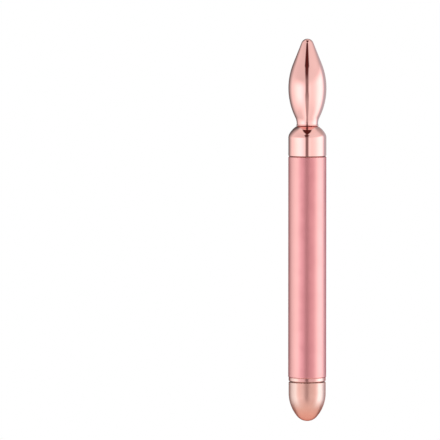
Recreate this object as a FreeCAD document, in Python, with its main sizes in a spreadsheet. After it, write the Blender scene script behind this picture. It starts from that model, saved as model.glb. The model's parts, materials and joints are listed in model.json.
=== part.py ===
import FreeCAD, Part
import math
import os
from types import SimpleNamespace

import Sketcher
from FreeCAD import Placement, Rotation, Vector

# Heated vibrating eye massager wand, driven by one round 14.2 x 50.5 mm cell.
#
# The wand stands along Z with its massaging tip up. The origin is the middle of the part of the
# tube that the fingers hold, on the tube's axis. From the tip down there are: the massaging head
# with its heater, the domed collar, the tube with the moulded carrier inside (eccentric weight,
# motor, circuit board, positive contact), the cell, the tail ring and the screwed end cap with
# its spring, which is also the switch.

DRIVING_SIZES = {
    # Cell and its bay.
    "cell_radius": 7.1,
    "cell_length": 50.5,
    "cell_play": 0.2,
    "cell_nub_radius": 2.75,
    "cell_nub_height": 1.0,
    "cell_edge": 0.45,
    "cell_crimp_depth": 0.12,
    "cell_crimp_height": 1.4,
    "contact_gap": 0.05,
    "film_wall": 0.15,
    # Clearances, all radial or end to end.
    "glue_gap": 0.02,
    "slip_gap": 0.05,
    "turning_gap": 0.04,
    "thread_gap": 0.08,
    "seal_gap": 0.02,
    "board_gap": 0.02,
    # Tube handle, drawn aluminium.
    "tube_wall": 0.75,
    "tube_edge_break": 0.3,
    # Tail ring, brass, bonded into the tube's foot.
    "ring_height": 1.5,
    "ring_inset": 0.2,
    "ring_sleeve_wall": 0.5,
    "ring_sleeve_length": 8.6,
    "ring_seat_relief": 0.2,
    "ring_edge": 0.15,
    # End cap, a deep drawn and plated bullet.
    "cap_gap": 0.5,
    "cap_straight": 4.8,
    "cap_nose_height": 12.3,
    "cap_nose_share": 0.6957,
    "cap_wall": 1.25,
    "cap_edge_break": 0.2,
    # Threaded insert of the end cap.
    "spigot_height": 6.0,
    "spigot_wall": 1.0,
    "spigot_depth": 8.2,
    "spigot_lead_in": 0.4,
    "insert_floor": 1.0,
    "plug_depth": 4.6,
    "plug_wall": 1.1,
    # Seal between the tail ring and the cap.
    "seal_section": 0.38,
    "seal_groove_height": 1.2,
    # Battery spring and the plate under it.
    "plate_thickness": 0.4,
    "plate_rim": 0.2,
    "spring_space": 10.25,
    "spring_wire": 0.35,
    "spring_inset": 0.82,
    "spring_top_radius": 3.4,
    "spring_turns": 4.0,
    # Collar, plated, pushed into the tube's top.
    "gasket_thickness": 0.35,
    "gasket_inset": 0.35,
    "collar_straight": 7.75,
    "collar_shoulder_share": 0.43636,
    "collar_crown_share": 1.07879,
    "collar_spigot_length": 6.85,
    "collar_spigot_wall": 0.65,
    "collar_roof": 2.0,
    "collar_taper": 0.95,
    "collar_taper_height": 3.4,
    # Massaging head, cast and plated. Shares are of the head's height over its neck.
    "washer_thickness": 0.25,
    "washer_inset": 0.2,
    "neck_radius": 4.62,
    "foot_flare": 0.33,
    "foot_lip": 0.15,
    "foot_height": 0.6,
    "land_inset": 0.35,
    "shank_step": 0.77,
    "shank_length": 4.4,
    "shank_gap": 0.1,
    "head_height": 37.0,
    "belly_share": 0.42162,
    "belly_curve_share": 0.77027,
    "flank_angle": 21.8,
    "shank_wall": 0.75,
    "solid_tip": 11.5,
    "nut_height": 1.8,
    "nut_gap": 0.15,
    # Heater and thermistor inside the head.
    "heater_gap": 0.1,
    "heater_wall": 1.6,
    "heater_length": 20.0,
    "heater_top_gap": 0.6,
    "bead_radius": 0.9,
    "bead_length": 2.4,
    "bead_depth": 1.8,
    # Leads from the head down to the circuit board.
    "heater_lead": 0.3,
    "thermistor_lead": 0.25,
    "bead_lead_spread": 0.45,
    "lead_pair_spread": 0.45,
    "lead_room": 2.676,
    "lead_bend": 0.75,
    "lead_entry_drop": 1.4,
    "lead_end_drop": 2.8,
    "lead_end_spread": 0.6,
    "lead_end_lift": 0.32,
    # Moulded carrier, two halves that meet in the plane of the circuit board.
    "carrier_gap": 0.1,
    "contact_guard": 0.4,
    "lower_bulkhead": 2.0,
    "bay_length": 19.7,
    "bay_side_wall": 2.4,
    "bay_head_room": 0.28,
    "upper_bulkhead": 2.0,
    "tab_opening_gap": 0.3,
    "tab_opening_depth": 1.3,
    "cradle_wall": 0.65,
    "shroud_floor": 1.2,
    "shroud_wall": 0.5,
    "shroud_depth": 5.1,
    "lead_channel": 0.85,
    "lead_channel_half_width": 0.95,
    "window_height": 5.0,
    "peg_radius": 0.7,
    "peg_length": 1.2,
    "peg_gap": 0.05,
    "peg_edge": 2.1,
    # Circuit board and what is soldered to it. Places are heights over the bay's floor.
    "board_edge_wall": 1.2,
    "board_thickness": 0.8,
    "board_tongue_step": 2.3,
    "board_tongue_length": 1.5,
    "chip_width": 5.0,
    "chip_length": 6.0,
    "chip_height": 1.6,
    "chip_place": 4.2,
    "coil_radius": 2.6,
    "coil_height": 2.8,
    "coil_flange": 0.5,
    "coil_winding_depth": 0.6,
    "coil_place": 3.3,
    "capacitor_radius": 2.0,
    "capacitor_height": 4.1,
    "capacitor_edge": 0.4,
    "capacitor_place": 9.1,
    "contact_radius": 3.2,
    "contact_thickness": 0.3,
    "contact_tab_half_width": 1.0,
    "contact_tab_rise": 2.7,
    "clip_thickness": 0.25,
    "clip_width": 4.0,
    "clip_place": 10.7,
    "clip_foot": 3.0,
    "clip_bend_edge": 2.0,
    "clip_reach": 1.7,
    "clip_return": 1.3,
    # Motor with flats on its can.
    "motor_flat_depth": 1.0,
    "motor_length": 15.0,
    "end_bell_length": 1.3,
    "can_wall": 0.6,
    "bush_radius": 2.0,
    "bush_length": 1.9,
    "bush_stand": 0.8,
    "shaft_radius": 0.75,
    "shaft_foot": 0.4,
    "magnet_thickness": 1.05,
    "magnet_half_angle": 36.0,
    "magnet_length": 9.0,
    "air_gap": 0.5,
    "armature_length": 8.0,
    "armature_foot": 3.9,
    "armature_slot_width": 1.2,
    "armature_slot_depth": 1.6,
    "commutator_radius": 1.6,
    "commutator_length": 1.7,
    "tab_width": 1.2,
    "tab_thickness": 0.3,
    "tab_length": 2.8,
    "tab_edge": 0.9,
    # Eccentric weight on the motor shaft.
    "weight_gap": 0.45,
    "weight_hub": 1.9,
    "weight_height": 4.0,
    "weight_lift": 0.6,
    "shaft_stand": 0.3,
}

doc = FreeCAD.newDocument("EyeWand")


def fill_sheet(sizes):
    """Write each driving size into the sheet as a plain number with its name as the alias."""
    sheet = doc.addObject("Spreadsheet::Sheet", "Sizes")
    for row, (name, number) in enumerate(sizes.items(), start=1):
        sheet.set(f"A{row}", name)
        sheet.set(f"B{row}", str(number))
        sheet.setAlias(f"B{row}", name)
    doc.recompute()
    return sheet


class Size:
    """A size with its present number and the sheet expression that gives it."""

    def __init__(self, number, text):
        self.number = number
        self.text = text

    def __add__(self, other):
        other = as_size(other)
        return Size(self.number + other.number, f"({self.text} + {other.text})")

    def __sub__(self, other):
        other = as_size(other)
        return Size(self.number - other.number, f"({self.text} - {other.text})")

    def __mul__(self, other):
        other = as_size(other)
        return Size(self.number * other.number, f"({self.text} * {other.text})")

    def __truediv__(self, other):
        other = as_size(other)
        return Size(self.number / other.number, f"({self.text} / {other.text})")

    def __rsub__(self, other):
        return as_size(other) - self

    def __rmul__(self, other):
        return as_size(other) * self

    def __neg__(self):
        return Size(-self.number, f"(0 - {self.text})")

    def root(self):
        return Size(math.sqrt(self.number), f"sqrt({self.text})")

    def sine(self):
        return Size(math.sin(math.radians(self.number)), f"sin({self.text})")

    def cosine(self):
        return Size(math.cos(math.radians(self.number)), f"cos({self.text})")

    def arctangent(self):
        """The angle in degrees whose tangent this is."""
        return Size(math.degrees(math.atan(self.number)), f"(atan({self.text}) / 1 deg)")


def as_size(number):
    """Wrap a plain number, so that it can stand beside sizes from the sheet."""
    return number if isinstance(number, Size) else Size(float(number), str(number))


sheet = fill_sheet(DRIVING_SIZES)
size = SimpleNamespace(**{name: Size(sheet.get(name), f"Sizes.{name}") for name in DRIVING_SIZES})
ZERO = as_size(0)


# Radii that several pieces share, from the cell outwards.

bay_radius = size.cell_radius + size.cell_play
film_radius = bay_radius + size.film_wall
tube_bore = film_radius + size.slip_gap
tube_radius = tube_bore + size.tube_wall
ring_radius = tube_radius - size.ring_inset
ring_sleeve_radius = bay_radius + size.ring_sleeve_wall
thread_radius = bay_radius - size.thread_gap
spigot_bore = thread_radius - size.spigot_wall
plate_radius = spigot_bore - size.plate_rim
cap_bore = ring_radius - size.cap_wall
cap_nose = ring_radius * size.cap_nose_share
cap_drop = size.cap_nose_height - cap_nose
cap_shoulder = (ring_radius * ring_radius + cap_drop * cap_drop - cap_nose * cap_nose) / (
    2 * (ring_radius - cap_nose)
)
seal_middle = cap_bore + size.seal_gap + size.seal_section
seal_counterbore = seal_middle + size.seal_section + size.seal_gap

foot_radius = size.neck_radius + size.foot_flare
land_radius = foot_radius - size.land_inset
shank_radius = size.neck_radius - size.shank_step
shank_hole = shank_radius + size.shank_gap
heater_bore = shank_radius - size.shank_wall
heater_radius = heater_bore - size.heater_gap
heater_hole = heater_radius - size.heater_wall

collar_shoulder = tube_radius * size.collar_shoulder_share
collar_crown = tube_radius * size.collar_crown_share
collar_spigot_radius = tube_bore - size.slip_gap
collar_bore = collar_spigot_radius - size.collar_spigot_wall
collar_ceiling_radius = collar_bore - size.collar_taper

carrier_radius = tube_bore - size.carrier_gap
carrier_neck = collar_bore - size.carrier_gap
shroud_radius = collar_bore - size.lead_channel
shroud_bore = shroud_radius - size.shroud_wall
lead_place = (shroud_radius + collar_bore) / 2
heater_lead_place = (heater_hole + heater_radius) / 2
board_face = size.board_thickness / 2
solder_face = board_face + size.board_gap
board_half_width = carrier_radius - size.board_edge_wall
tongue_half_width = board_half_width - size.board_tongue_step
tab_place = tongue_half_width - size.tab_edge
bay_half_width = carrier_radius - size.bay_side_wall
bay_depth = solder_face + size.capacitor_height + size.bay_head_room

motor_radius = carrier_neck - size.cradle_wall - size.slip_gap
motor_flat = motor_radius - size.motor_flat_depth
magnet_radius = motor_radius - size.can_wall - size.slip_gap
armature_radius = magnet_radius - size.magnet_thickness - size.air_gap
weight_radius = shroud_bore - size.weight_gap

# Heights in the stack, each counted from the tube's foot, up to the tube's top.

stack_mouth = -(size.ring_height + size.cap_gap)
stack_plate = stack_mouth + size.spigot_height - size.spigot_depth + size.plate_thickness
stack_cell = stack_plate + size.spring_space
stack_contact = stack_cell + size.cell_length + size.contact_gap
stack_bay = stack_contact + size.contact_thickness + size.lower_bulkhead
stack_motor = stack_bay + size.bay_length + size.upper_bulkhead
stack_shroud = stack_motor + size.motor_length + size.slip_gap + size.shroud_floor
stack_shank = stack_shroud + size.shroud_depth + size.lead_room
stack_land = stack_shank + size.shank_length - size.washer_thickness
shoulder_middle = tube_radius - collar_shoulder
crown_reach = collar_crown - collar_shoulder
crown_drop = (crown_reach * crown_reach - shoulder_middle * shoulder_middle).root()
crown_rise = (collar_crown * collar_crown - land_radius * land_radius).root()
stack_dome = stack_land - crown_rise + crown_drop
grip_length = stack_dome - size.collar_straight - size.gasket_thickness

# Heights from the origin, which is halfway up the tube.

tube_top = grip_length / 2
tube_foot = -tube_top
ring_bottom = tube_foot - size.ring_height
ring_sleeve_top = tube_foot + size.ring_sleeve_length
cap_mouth = tube_foot + stack_mouth
cap_nose_start = cap_mouth - size.cap_straight
spigot_top = cap_mouth + size.spigot_height
insert_floor_top = spigot_top - size.spigot_depth
plate_top = tube_foot + stack_plate
cell_bottom = tube_foot + stack_cell
cell_top = cell_bottom + size.cell_length
contact_face = tube_foot + stack_contact
contact_back = contact_face + size.contact_thickness

carrier_bottom = contact_face - size.contact_guard
bay_bottom = tube_foot + stack_bay
bay_top = bay_bottom + size.bay_length
chip_bottom = bay_bottom + size.chip_place
coil_middle = bay_bottom + size.coil_place
capacitor_middle = bay_bottom + size.capacitor_place
clip_middle = bay_bottom + size.clip_place
motor_seat = tube_foot + stack_motor
motor_top = motor_seat + size.motor_length
can_bottom = motor_seat + size.end_bell_length
shroud_floor_top = tube_foot + stack_shroud
shroud_top = shroud_floor_top + size.shroud_depth
neck_top = motor_top + size.shroud_wall
weight_bottom = shroud_floor_top + size.weight_lift
weight_top = weight_bottom + size.weight_height
shaft_top = weight_top + size.shaft_stand
lead_entry = bay_top - size.lead_entry_drop
lead_end = lead_entry - size.lead_end_drop
lead_window_bottom = lead_entry - size.window_height + size.lead_bend

collar_bottom = tube_top + size.gasket_thickness
carrier_step = collar_bottom - size.collar_spigot_length
dome_start = collar_bottom + size.collar_straight
crown_middle = dome_start - crown_drop
collar_land = crown_middle + crown_rise
collar_ceiling = collar_land - size.collar_roof
shank_bottom = tube_foot + stack_shank
foot_bottom = shank_bottom + size.shank_length
neck_place = foot_bottom + size.foot_height
belly_height = size.head_height * size.belly_share
belly_curve = size.head_height * size.belly_curve_share
belly_place = neck_place + belly_height
head_tip = neck_place + size.head_height
heater_bore_end = head_tip - size.solid_tip
heater_top = heater_bore_end - size.heater_top_gap
heater_bottom = heater_top - size.heater_length
bead_bottom = heater_top - size.bead_depth - size.bead_length

pieces = []


def keep(piece, label):
    """Give a sub-part its name and list it for the checks and the files."""
    piece.Label = label
    pieces.append(piece)
    return piece


class Outline:
    """A closed sketch on one of a body's origin planes, each corner bound to the sheet."""

    def __init__(self, body, name, plane, height=None):
        self.sketch = body.newObject("Sketcher::SketchObject", name)
        planes = {feature.Role: feature for feature in body.Origin.OriginFeatures}
        self.sketch.AttachmentSupport = [(planes[plane], "")]
        self.sketch.MapMode = "FlatFace"
        if height is not None:
            self.sketch.setExpression("AttachmentOffset.Base.z", height.text)
        self.home = None
        self.corner = None
        self.first = None
        self.last = None

    def start(self, x, y):
        """Begin at a corner, which the first edge then carries."""
        self.home = (as_size(x), as_size(y))
        self.corner = self.home
        self.first = None
        return self

    def line_to(self, x, y):
        """Draw a straight edge to the next corner."""
        target = (as_size(x), as_size(y))
        edge = self.sketch.addGeometry(Part.LineSegment(self._vector(self.corner), self._vector(target)))
        self._join((edge, 1), (edge, 2))
        upright = target[0].text == self.corner[0].text
        level = target[1].text == self.corner[1].text
        if upright:
            self.sketch.addConstraint(Sketcher.Constraint("Vertical", edge))
        else:
            self._bind((edge, 2), "DistanceX", target[0])
        if level:
            self.sketch.addConstraint(Sketcher.Constraint("Horizontal", edge))
        else:
            self._bind((edge, 2), "DistanceY", target[1])
        self.corner = target
        return self

    def arc_to(self, x, y, radius, turn):
        """Draw an arc of under half a circle that turns left (1) or right (-1) to the next corner."""
        target = (as_size(x), as_size(y))
        end = self._add_arc(target, radius, turn)
        self._bind(end, "DistanceX", target[0])
        self._bind(end, "DistanceY", target[1])
        return self

    def arc_home(self, radius, turn):
        """Draw the last edge as an arc back to the first corner."""
        self._meet(self._add_arc(self.home, radius, turn), self.first)
        return self

    def close(self):
        """Draw the last straight edge back to the first corner."""
        edge = self.sketch.addGeometry(Part.LineSegment(self._vector(self.corner), self._vector(self.home)))
        self._join((edge, 1), (edge, 2))
        self._meet((edge, 2), self.first)
        return self

    def _add_arc(self, target, radius, turn):
        here, there = self._vector(self.corner), self._vector(target)
        chord = there - here
        rise = math.sqrt(max(radius.number**2 - chord.Length**2 / 4, 0.0))
        side = Vector(-chord.y, chord.x, 0).normalize()
        middle = (here + there) / 2 + side * (rise * turn)
        begin, end = (here, there) if turn > 0 else (there, here)
        angles = [math.atan2(point.y - middle.y, point.x - middle.x) for point in (begin, end)]
        if angles[1] < angles[0]:
            angles[1] += 2 * math.pi
        circle = Part.Circle(middle, Vector(0, 0, 1), radius.number)
        edge = self.sketch.addGeometry(Part.ArcOfCircle(circle, angles[0], angles[1]))
        ends = ((edge, 1), (edge, 2)) if turn > 0 else ((edge, 2), (edge, 1))
        self._join(*ends)
        constraint = self.sketch.addConstraint(Sketcher.Constraint("Radius", edge, radius.number))
        self.sketch.setExpression(f"Constraints[{constraint}]", radius.text)
        self.corner = target
        return ends[1]

    def circle(self, x, y, radius):
        """Add a whole circle."""
        x, y = as_size(x), as_size(y)
        edge = self.sketch.addGeometry(Part.Circle(self._vector((x, y)), Vector(0, 0, 1), radius.number))
        self._bind((edge, 3), "DistanceX", x)
        self._bind((edge, 3), "DistanceY", y)
        constraint = self.sketch.addConstraint(Sketcher.Constraint("Radius", edge, radius.number))
        self.sketch.setExpression(f"Constraints[{constraint}]", radius.text)
        return self

    def rectangle(self, left, bottom, right, top):
        """Add a closed rectangle."""
        return self.start(left, bottom).line_to(right, bottom).line_to(right, top).line_to(left, top).close()

    def flatted_round(self, radius, flat):
        """Add a circle about the origin that is cut off by a flat on each side in Y."""
        edge = (radius * radius - flat * flat).root()
        self.start(edge, -flat).arc_to(edge, flat, radius, 1).line_to(-edge, flat)
        return self.arc_to(-edge, -flat, radius, 1).close()

    def _vector(self, corner):
        return Vector(corner[0].number, corner[1].number, 0)

    def _join(self, begin, end):
        if self.first is None:
            self.first = begin
            self._bind(begin, "DistanceX", self.corner[0])
            self._bind(begin, "DistanceY", self.corner[1])
        else:
            self._meet(self.last, begin)
        self.last = end

    def _meet(self, one, other):
        self.sketch.addConstraint(Sketcher.Constraint("Coincident", *one, *other))

    def _bind(self, point, kind, place):
        if place.text == ZERO.text:
            axis = -2 if kind == "DistanceX" else -1
            self.sketch.addConstraint(Sketcher.Constraint("PointOnObject", *point, axis))
            return
        constraint = self.sketch.addConstraint(Sketcher.Constraint(kind, -1, 1, *point, place.number))
        self.sketch.setExpression(f"Constraints[{constraint}]", place.text)


class Piece:
    """One sub-part as a PartDesign body, built up feature by feature."""

    def __init__(self, label):
        self.label = label
        self.body = keep(doc.addObject("PartDesign::Body", label), label)

    def outline(self, name, plane="XZ_Plane", height=None):
        """Start a sketch. On XZ_Plane its corners are radius and height."""
        return Outline(self.body, f"{self.label}_{name}", plane, height)

    def turn(self, outline, angle=360.0, reverse=False):
        """Revolve an outline about its own upright axis."""
        feature = self.body.newObject("PartDesign::Revolution", f"{self.label}_turned")
        feature.Profile = outline.sketch
        feature.ReferenceAxis = (outline.sketch, ["V_Axis"])
        feature.Angle = angle
        feature.Reversed = reverse
        return self

    def groove(self, outline):
        """Cut an outline away all round the axis."""
        feature = self.body.newObject("PartDesign::Groove", outline.sketch.Name + "_cut")
        feature.Profile = outline.sketch
        feature.ReferenceAxis = (outline.sketch, ["V_Axis"])
        feature.Angle = 360.0
        return self._check_cut(feature)

    def pad(self, outline, length, reverse=False):
        """Raise an outline by a length along its plane's normal."""
        feature = self.body.newObject("PartDesign::Pad", outline.sketch.Name + "_pad")
        feature.Profile = outline.sketch
        feature.setExpression("Length", length.text)
        feature.Reversed = reverse
        return self

    def pocket(self, outline, length, reverse=False):
        """Sink an outline by a length against its plane's normal, or along it if reversed."""
        feature = self.body.newObject("PartDesign::Pocket", outline.sketch.Name + "_cut")
        feature.Profile = outline.sketch
        feature.setExpression("Length", length.text)
        feature.Reversed = reverse
        return self._check_cut(feature)

    def _check_cut(self, feature):
        doc.recompute()
        before = feature.BaseFeature.Shape.Volume
        if not feature.Shape.Volume < before:
            raise ValueError(f"{feature.Name} cuts nothing")
        return self


def plain_ring(label, inner, outer, bottom, top):
    """A flat ring or a straight sleeve."""
    piece = Piece(label)
    return piece.turn(piece.outline("section").rectangle(inner, bottom, outer, top))


# Massaging head and what it holds.


def make_massage_head():
    """Flame shaped head: foot, neck cove, round belly, straight flank and ball tip in one curve."""
    swell = tube_radius - size.neck_radius
    curve_sum = (belly_height * belly_height + swell * swell) / (2 * swell)
    cove = curve_sum - belly_curve
    cove_end_radius = size.neck_radius + cove * swell / curve_sum
    cove_end_height = neck_place + cove * belly_height / curve_sum
    sine, cosine = size.flank_angle.sine(), size.flank_angle.cosine()
    flank_radius = tube_radius - belly_curve * (1 - cosine)
    flank_height = belly_place + belly_curve * sine
    tip_radius = (flank_radius * cosine - sine * (head_tip - flank_height)) / (1 - sine)
    foot_step = foot_radius - size.neck_radius
    foot_rise = size.foot_height - size.foot_lip
    foot_cove = (foot_step * foot_step + foot_rise * foot_rise) / (2 * foot_step)
    piece = Piece("massage_head")
    profile = piece.outline("section")
    profile.start(heater_bore, shank_bottom)
    profile.line_to(shank_radius, shank_bottom)
    profile.line_to(shank_radius, foot_bottom)
    profile.line_to(foot_radius, foot_bottom)
    profile.line_to(foot_radius, foot_bottom + size.foot_lip)
    profile.arc_to(size.neck_radius, neck_place, foot_cove, -1)
    profile.arc_to(cove_end_radius, cove_end_height, cove, -1)
    profile.arc_to(flank_radius, flank_height, belly_curve, 1)
    profile.line_to(tip_radius * cosine, head_tip - tip_radius * (1 - sine))
    profile.arc_to(0, head_tip, tip_radius, 1)
    profile.line_to(0, heater_bore_end + heater_bore / 2)
    profile.line_to(heater_bore, heater_bore_end)
    profile.close()
    piece.turn(profile)


def make_head_washer():
    """Soft insulating washer between the warm head and the collar."""
    outer = land_radius - size.washer_inset
    plain_ring("head_washer", shank_hole, outer, collar_land, foot_bottom)


def make_head_nut():
    """Six sided nut that clamps the head's shank against the collar's ceiling."""
    blank = doc.addObject("Part::Prism", "nut_blank")
    blank.Polygon = 6
    blank.setExpression("Circumradius", (collar_ceiling_radius - size.nut_gap).text)
    blank.setExpression("Height", size.nut_height.text)
    hole = doc.addObject("Part::Cylinder", "nut_hole")
    hole.setExpression("Radius", (shank_radius + size.glue_gap).text)
    hole.setExpression("Height", size.nut_height.text)
    nut = doc.addObject("Part::Cut", "head_nut")
    nut.Base = blank
    nut.Tool = hole
    nut.setExpression("Placement.Base.z", (collar_ceiling - size.nut_height).text)
    keep(nut, "head_nut")


def make_heater_core():
    """Ceramic heater tube in the head's bore."""
    plain_ring("heater_core", heater_hole, heater_radius, heater_bottom, heater_top)


def make_thermistor():
    """Glass bead near the top of the heater's hole, flat where its leads enter."""
    top = bead_bottom + size.bead_length
    piece = Piece("thermistor")
    bead = piece.outline("section")
    bead.start(0, bead_bottom)
    bead.line_to(size.bead_radius, bead_bottom)
    bead.line_to(size.bead_radius, top - size.bead_radius)
    bead.arc_to(0, top, size.bead_radius, 1)
    bead.close()
    piece.turn(bead)


def rounded_route(points, bend):
    """A wire of straight runs through the points, each inner corner rounded by a tangent arc."""
    edges = []
    begin = points[0]
    for before, corner, after in zip(points, points[1:], points[2:]):
        incoming = (corner - before).normalize()
        outgoing = (after - corner).normalize()
        half_turn = incoming.getAngle(outgoing) / 2
        setback = bend * math.tan(half_turn)
        enter = corner - incoming * setback
        leave = corner + outgoing * setback
        inward = (outgoing - incoming).normalize()
        crest = corner + inward * (bend / math.cos(half_turn) - bend)
        edges.append(Part.LineSegment(begin, enter).toShape())
        edges.append(Part.Arc(enter, crest, leave).toShape())
        begin = leave
    edges.append(Part.LineSegment(begin, points[-1]).toShape())
    return Part.Wire(edges)


def lead_solid(points, radius, bend):
    """A round lead along a rounded route, with its volume compared with section times length."""
    route = rounded_route(points, bend)
    disc = Part.Wire(Part.Circle(points[0], points[1] - points[0], radius).toShape())
    solid = route.makePipeShell([disc], True, True)
    expected = math.pi * radius**2 * route.Length
    if abs(solid.Volume - expected) > 0.02 * expected:
        raise ValueError("a lead's volume doesn't match its section and length")
    return solid


def make_lead_pair(label, radius, spread, top, side):
    """Two leads from the head, over the shroud and down the carrier's channel to the board."""
    over_shroud = (shroud_top + shank_bottom).number / 2
    leads = []
    for hand in (-1, 1):
        pair = hand * size.lead_pair_spread.number
        end = hand * size.lead_end_spread.number
        points = [
            Vector(hand * spread.number, 0, top.number),
            Vector(hand * spread.number, 0, over_shroud),
            Vector(pair, side * lead_place.number, over_shroud),
            Vector(pair, side * lead_place.number, lead_entry.number),
            Vector(end, side * (solder_face + size.lead_end_lift).number, lead_end.number),
        ]
        leads.append(lead_solid(points, radius.number, size.lead_bend.number))
    feature = doc.addObject("Part::Feature", label)
    feature.Shape = Part.makeCompound(leads)
    feature.Placement = Placement(Vector(0, 0, 0), Rotation())
    keep(feature, label)


# Collar and tube.


def make_collar():
    """Domed collar: spigot in the tube, straight skirt, rounded shoulder and crown with its land."""
    crown_share = collar_crown / crown_reach
    blend_radius = shoulder_middle * crown_share
    blend_height = crown_middle + crown_drop * crown_share
    piece = Piece("collar")
    profile = piece.outline("section")
    profile.start(collar_bore, carrier_step)
    profile.line_to(collar_spigot_radius, carrier_step)
    profile.line_to(collar_spigot_radius, collar_bottom)
    profile.line_to(tube_radius, collar_bottom)
    profile.line_to(tube_radius, dome_start)
    profile.arc_to(blend_radius, blend_height, collar_shoulder, 1)
    profile.arc_to(land_radius, collar_land, collar_crown, 1)
    profile.line_to(shank_hole, collar_land)
    profile.line_to(shank_hole, collar_ceiling)
    profile.line_to(collar_ceiling_radius, collar_ceiling)
    profile.line_to(collar_bore, collar_ceiling - size.collar_taper_height)
    profile.close()
    piece.turn(profile)


def make_collar_gasket():
    """Dark ring that shows as the thin line between the collar and the tube."""
    outer = tube_radius - size.gasket_inset
    plain_ring("collar_gasket", tube_bore, outer, tube_top, collar_bottom)


def make_body_tube():
    """Tube with broken outer edges and a seat for the tail ring bored into its foot."""
    seat_radius = ring_sleeve_radius + size.glue_gap
    seat_top = ring_sleeve_top + size.ring_seat_relief
    broken_radius = tube_radius - size.tube_edge_break
    piece = Piece("body_tube")
    profile = piece.outline("section")
    profile.start(seat_radius, tube_foot)
    profile.line_to(broken_radius, tube_foot)
    profile.line_to(tube_radius, tube_foot + size.tube_edge_break)
    profile.line_to(tube_radius, tube_top - size.tube_edge_break)
    profile.line_to(broken_radius, tube_top)
    profile.line_to(tube_bore, tube_top)
    profile.line_to(tube_bore, seat_top)
    profile.line_to(seat_radius, seat_top)
    profile.close()
    piece.turn(profile)


def make_insulating_sleeve():
    """Thin film sleeve that keeps the cell's jacket off the live tube."""
    plain_ring("insulating_sleeve", bay_radius, film_radius, ring_sleeve_top, carrier_bottom)


# Tail ring, cap and cell.


def make_tail_ring():
    """Bright ring with a threaded sleeve in the tube and a counterbore for the seal."""
    edge = size.ring_edge
    seal_seat = ring_bottom - size.cap_gap + size.seal_groove_height + size.slip_gap
    piece = Piece("tail_ring")
    profile = piece.outline("section")
    profile.start(seal_counterbore, ring_bottom)
    profile.line_to(ring_radius - edge, ring_bottom)
    profile.arc_to(ring_radius, ring_bottom + edge, edge, 1)
    profile.line_to(ring_radius, tube_foot - edge)
    profile.arc_to(ring_radius - edge, tube_foot, edge, 1)
    profile.line_to(ring_sleeve_radius, tube_foot)
    profile.line_to(ring_sleeve_radius, ring_sleeve_top)
    profile.line_to(bay_radius, ring_sleeve_top)
    profile.line_to(bay_radius, seal_seat)
    profile.line_to(seal_counterbore, seal_seat)
    profile.close()
    piece.turn(profile)


def add_bullet_nose(profile, inset):
    """Carry an outline from the bullet's side round its shoulder and nose to the axis."""
    nose = cap_nose - inset
    reach = cap_shoulder - cap_nose
    blend_radius = nose * (cap_shoulder - ring_radius) / reach
    blend_height = cap_nose_start - cap_drop - nose * cap_drop / reach
    profile.arc_to(blend_radius, blend_height, cap_shoulder - inset, -1)
    profile.arc_to(0, cap_nose_start - cap_drop - nose, nose, -1)


def make_end_cap():
    """Bullet shaped shell of even wall with a broken edge at its mouth."""
    broken = ring_radius - size.cap_edge_break
    piece = Piece("end_cap")
    profile = piece.outline("outside")
    profile.start(0, cap_mouth)
    profile.line_to(broken, cap_mouth)
    profile.line_to(ring_radius, cap_mouth - size.cap_edge_break)
    profile.line_to(ring_radius, cap_nose_start)
    add_bullet_nose(profile, ZERO)
    profile.close()
    piece.turn(profile)
    hollow = piece.outline("hollow")
    hollow.start(0, cap_mouth)
    hollow.line_to(cap_bore, cap_mouth)
    hollow.line_to(cap_bore, cap_nose_start)
    add_bullet_nose(hollow, size.cap_wall)
    hollow.close()
    piece.groove(hollow)


def make_cap_insert():
    """Brass insert: plug in the cap, groove for the seal, threaded spigot and a floor between."""
    plug_radius = cap_bore - size.glue_gap
    plug_bottom = cap_mouth - size.plug_depth
    groove_top = cap_mouth + size.seal_groove_height
    floor_bottom = insert_floor_top - size.insert_floor
    piece = Piece("cap_insert")
    profile = piece.outline("section")
    profile.start(0, floor_bottom)
    profile.line_to(plug_radius - size.plug_wall, floor_bottom)
    profile.line_to(plug_radius - size.plug_wall, plug_bottom)
    profile.line_to(plug_radius, plug_bottom)
    profile.line_to(plug_radius, groove_top)
    profile.line_to(thread_radius, groove_top)
    profile.line_to(thread_radius, spigot_top - size.spigot_lead_in)
    profile.line_to(thread_radius - size.spigot_lead_in, spigot_top)
    profile.line_to(spigot_bore, spigot_top)
    profile.line_to(spigot_bore, insert_floor_top)
    profile.line_to(0, insert_floor_top)
    profile.close()
    piece.turn(profile)


def make_cap_seal():
    """Rubber ring that seals and brakes the cap."""
    seal = doc.addObject("Part::Torus", "cap_seal")
    seal.setExpression("Radius1", seal_middle.text)
    seal.setExpression("Radius2", size.seal_section.text)
    lift = cap_mouth + size.seal_groove_height - size.seal_section - size.seal_gap
    seal.setExpression("Placement.Base.z", lift.text)
    keep(seal, "cap_seal")


def make_spring_plate():
    """Plated disc that the battery spring stands on."""
    plate = doc.addObject("Part::Cylinder", "spring_plate")
    plate.setExpression("Radius", plate_radius.text)
    plate.setExpression("Height", size.plate_thickness.text)
    plate.setExpression("Placement.Base.z", insert_floor_top.text)
    keep(plate, "spring_plate")


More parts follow.
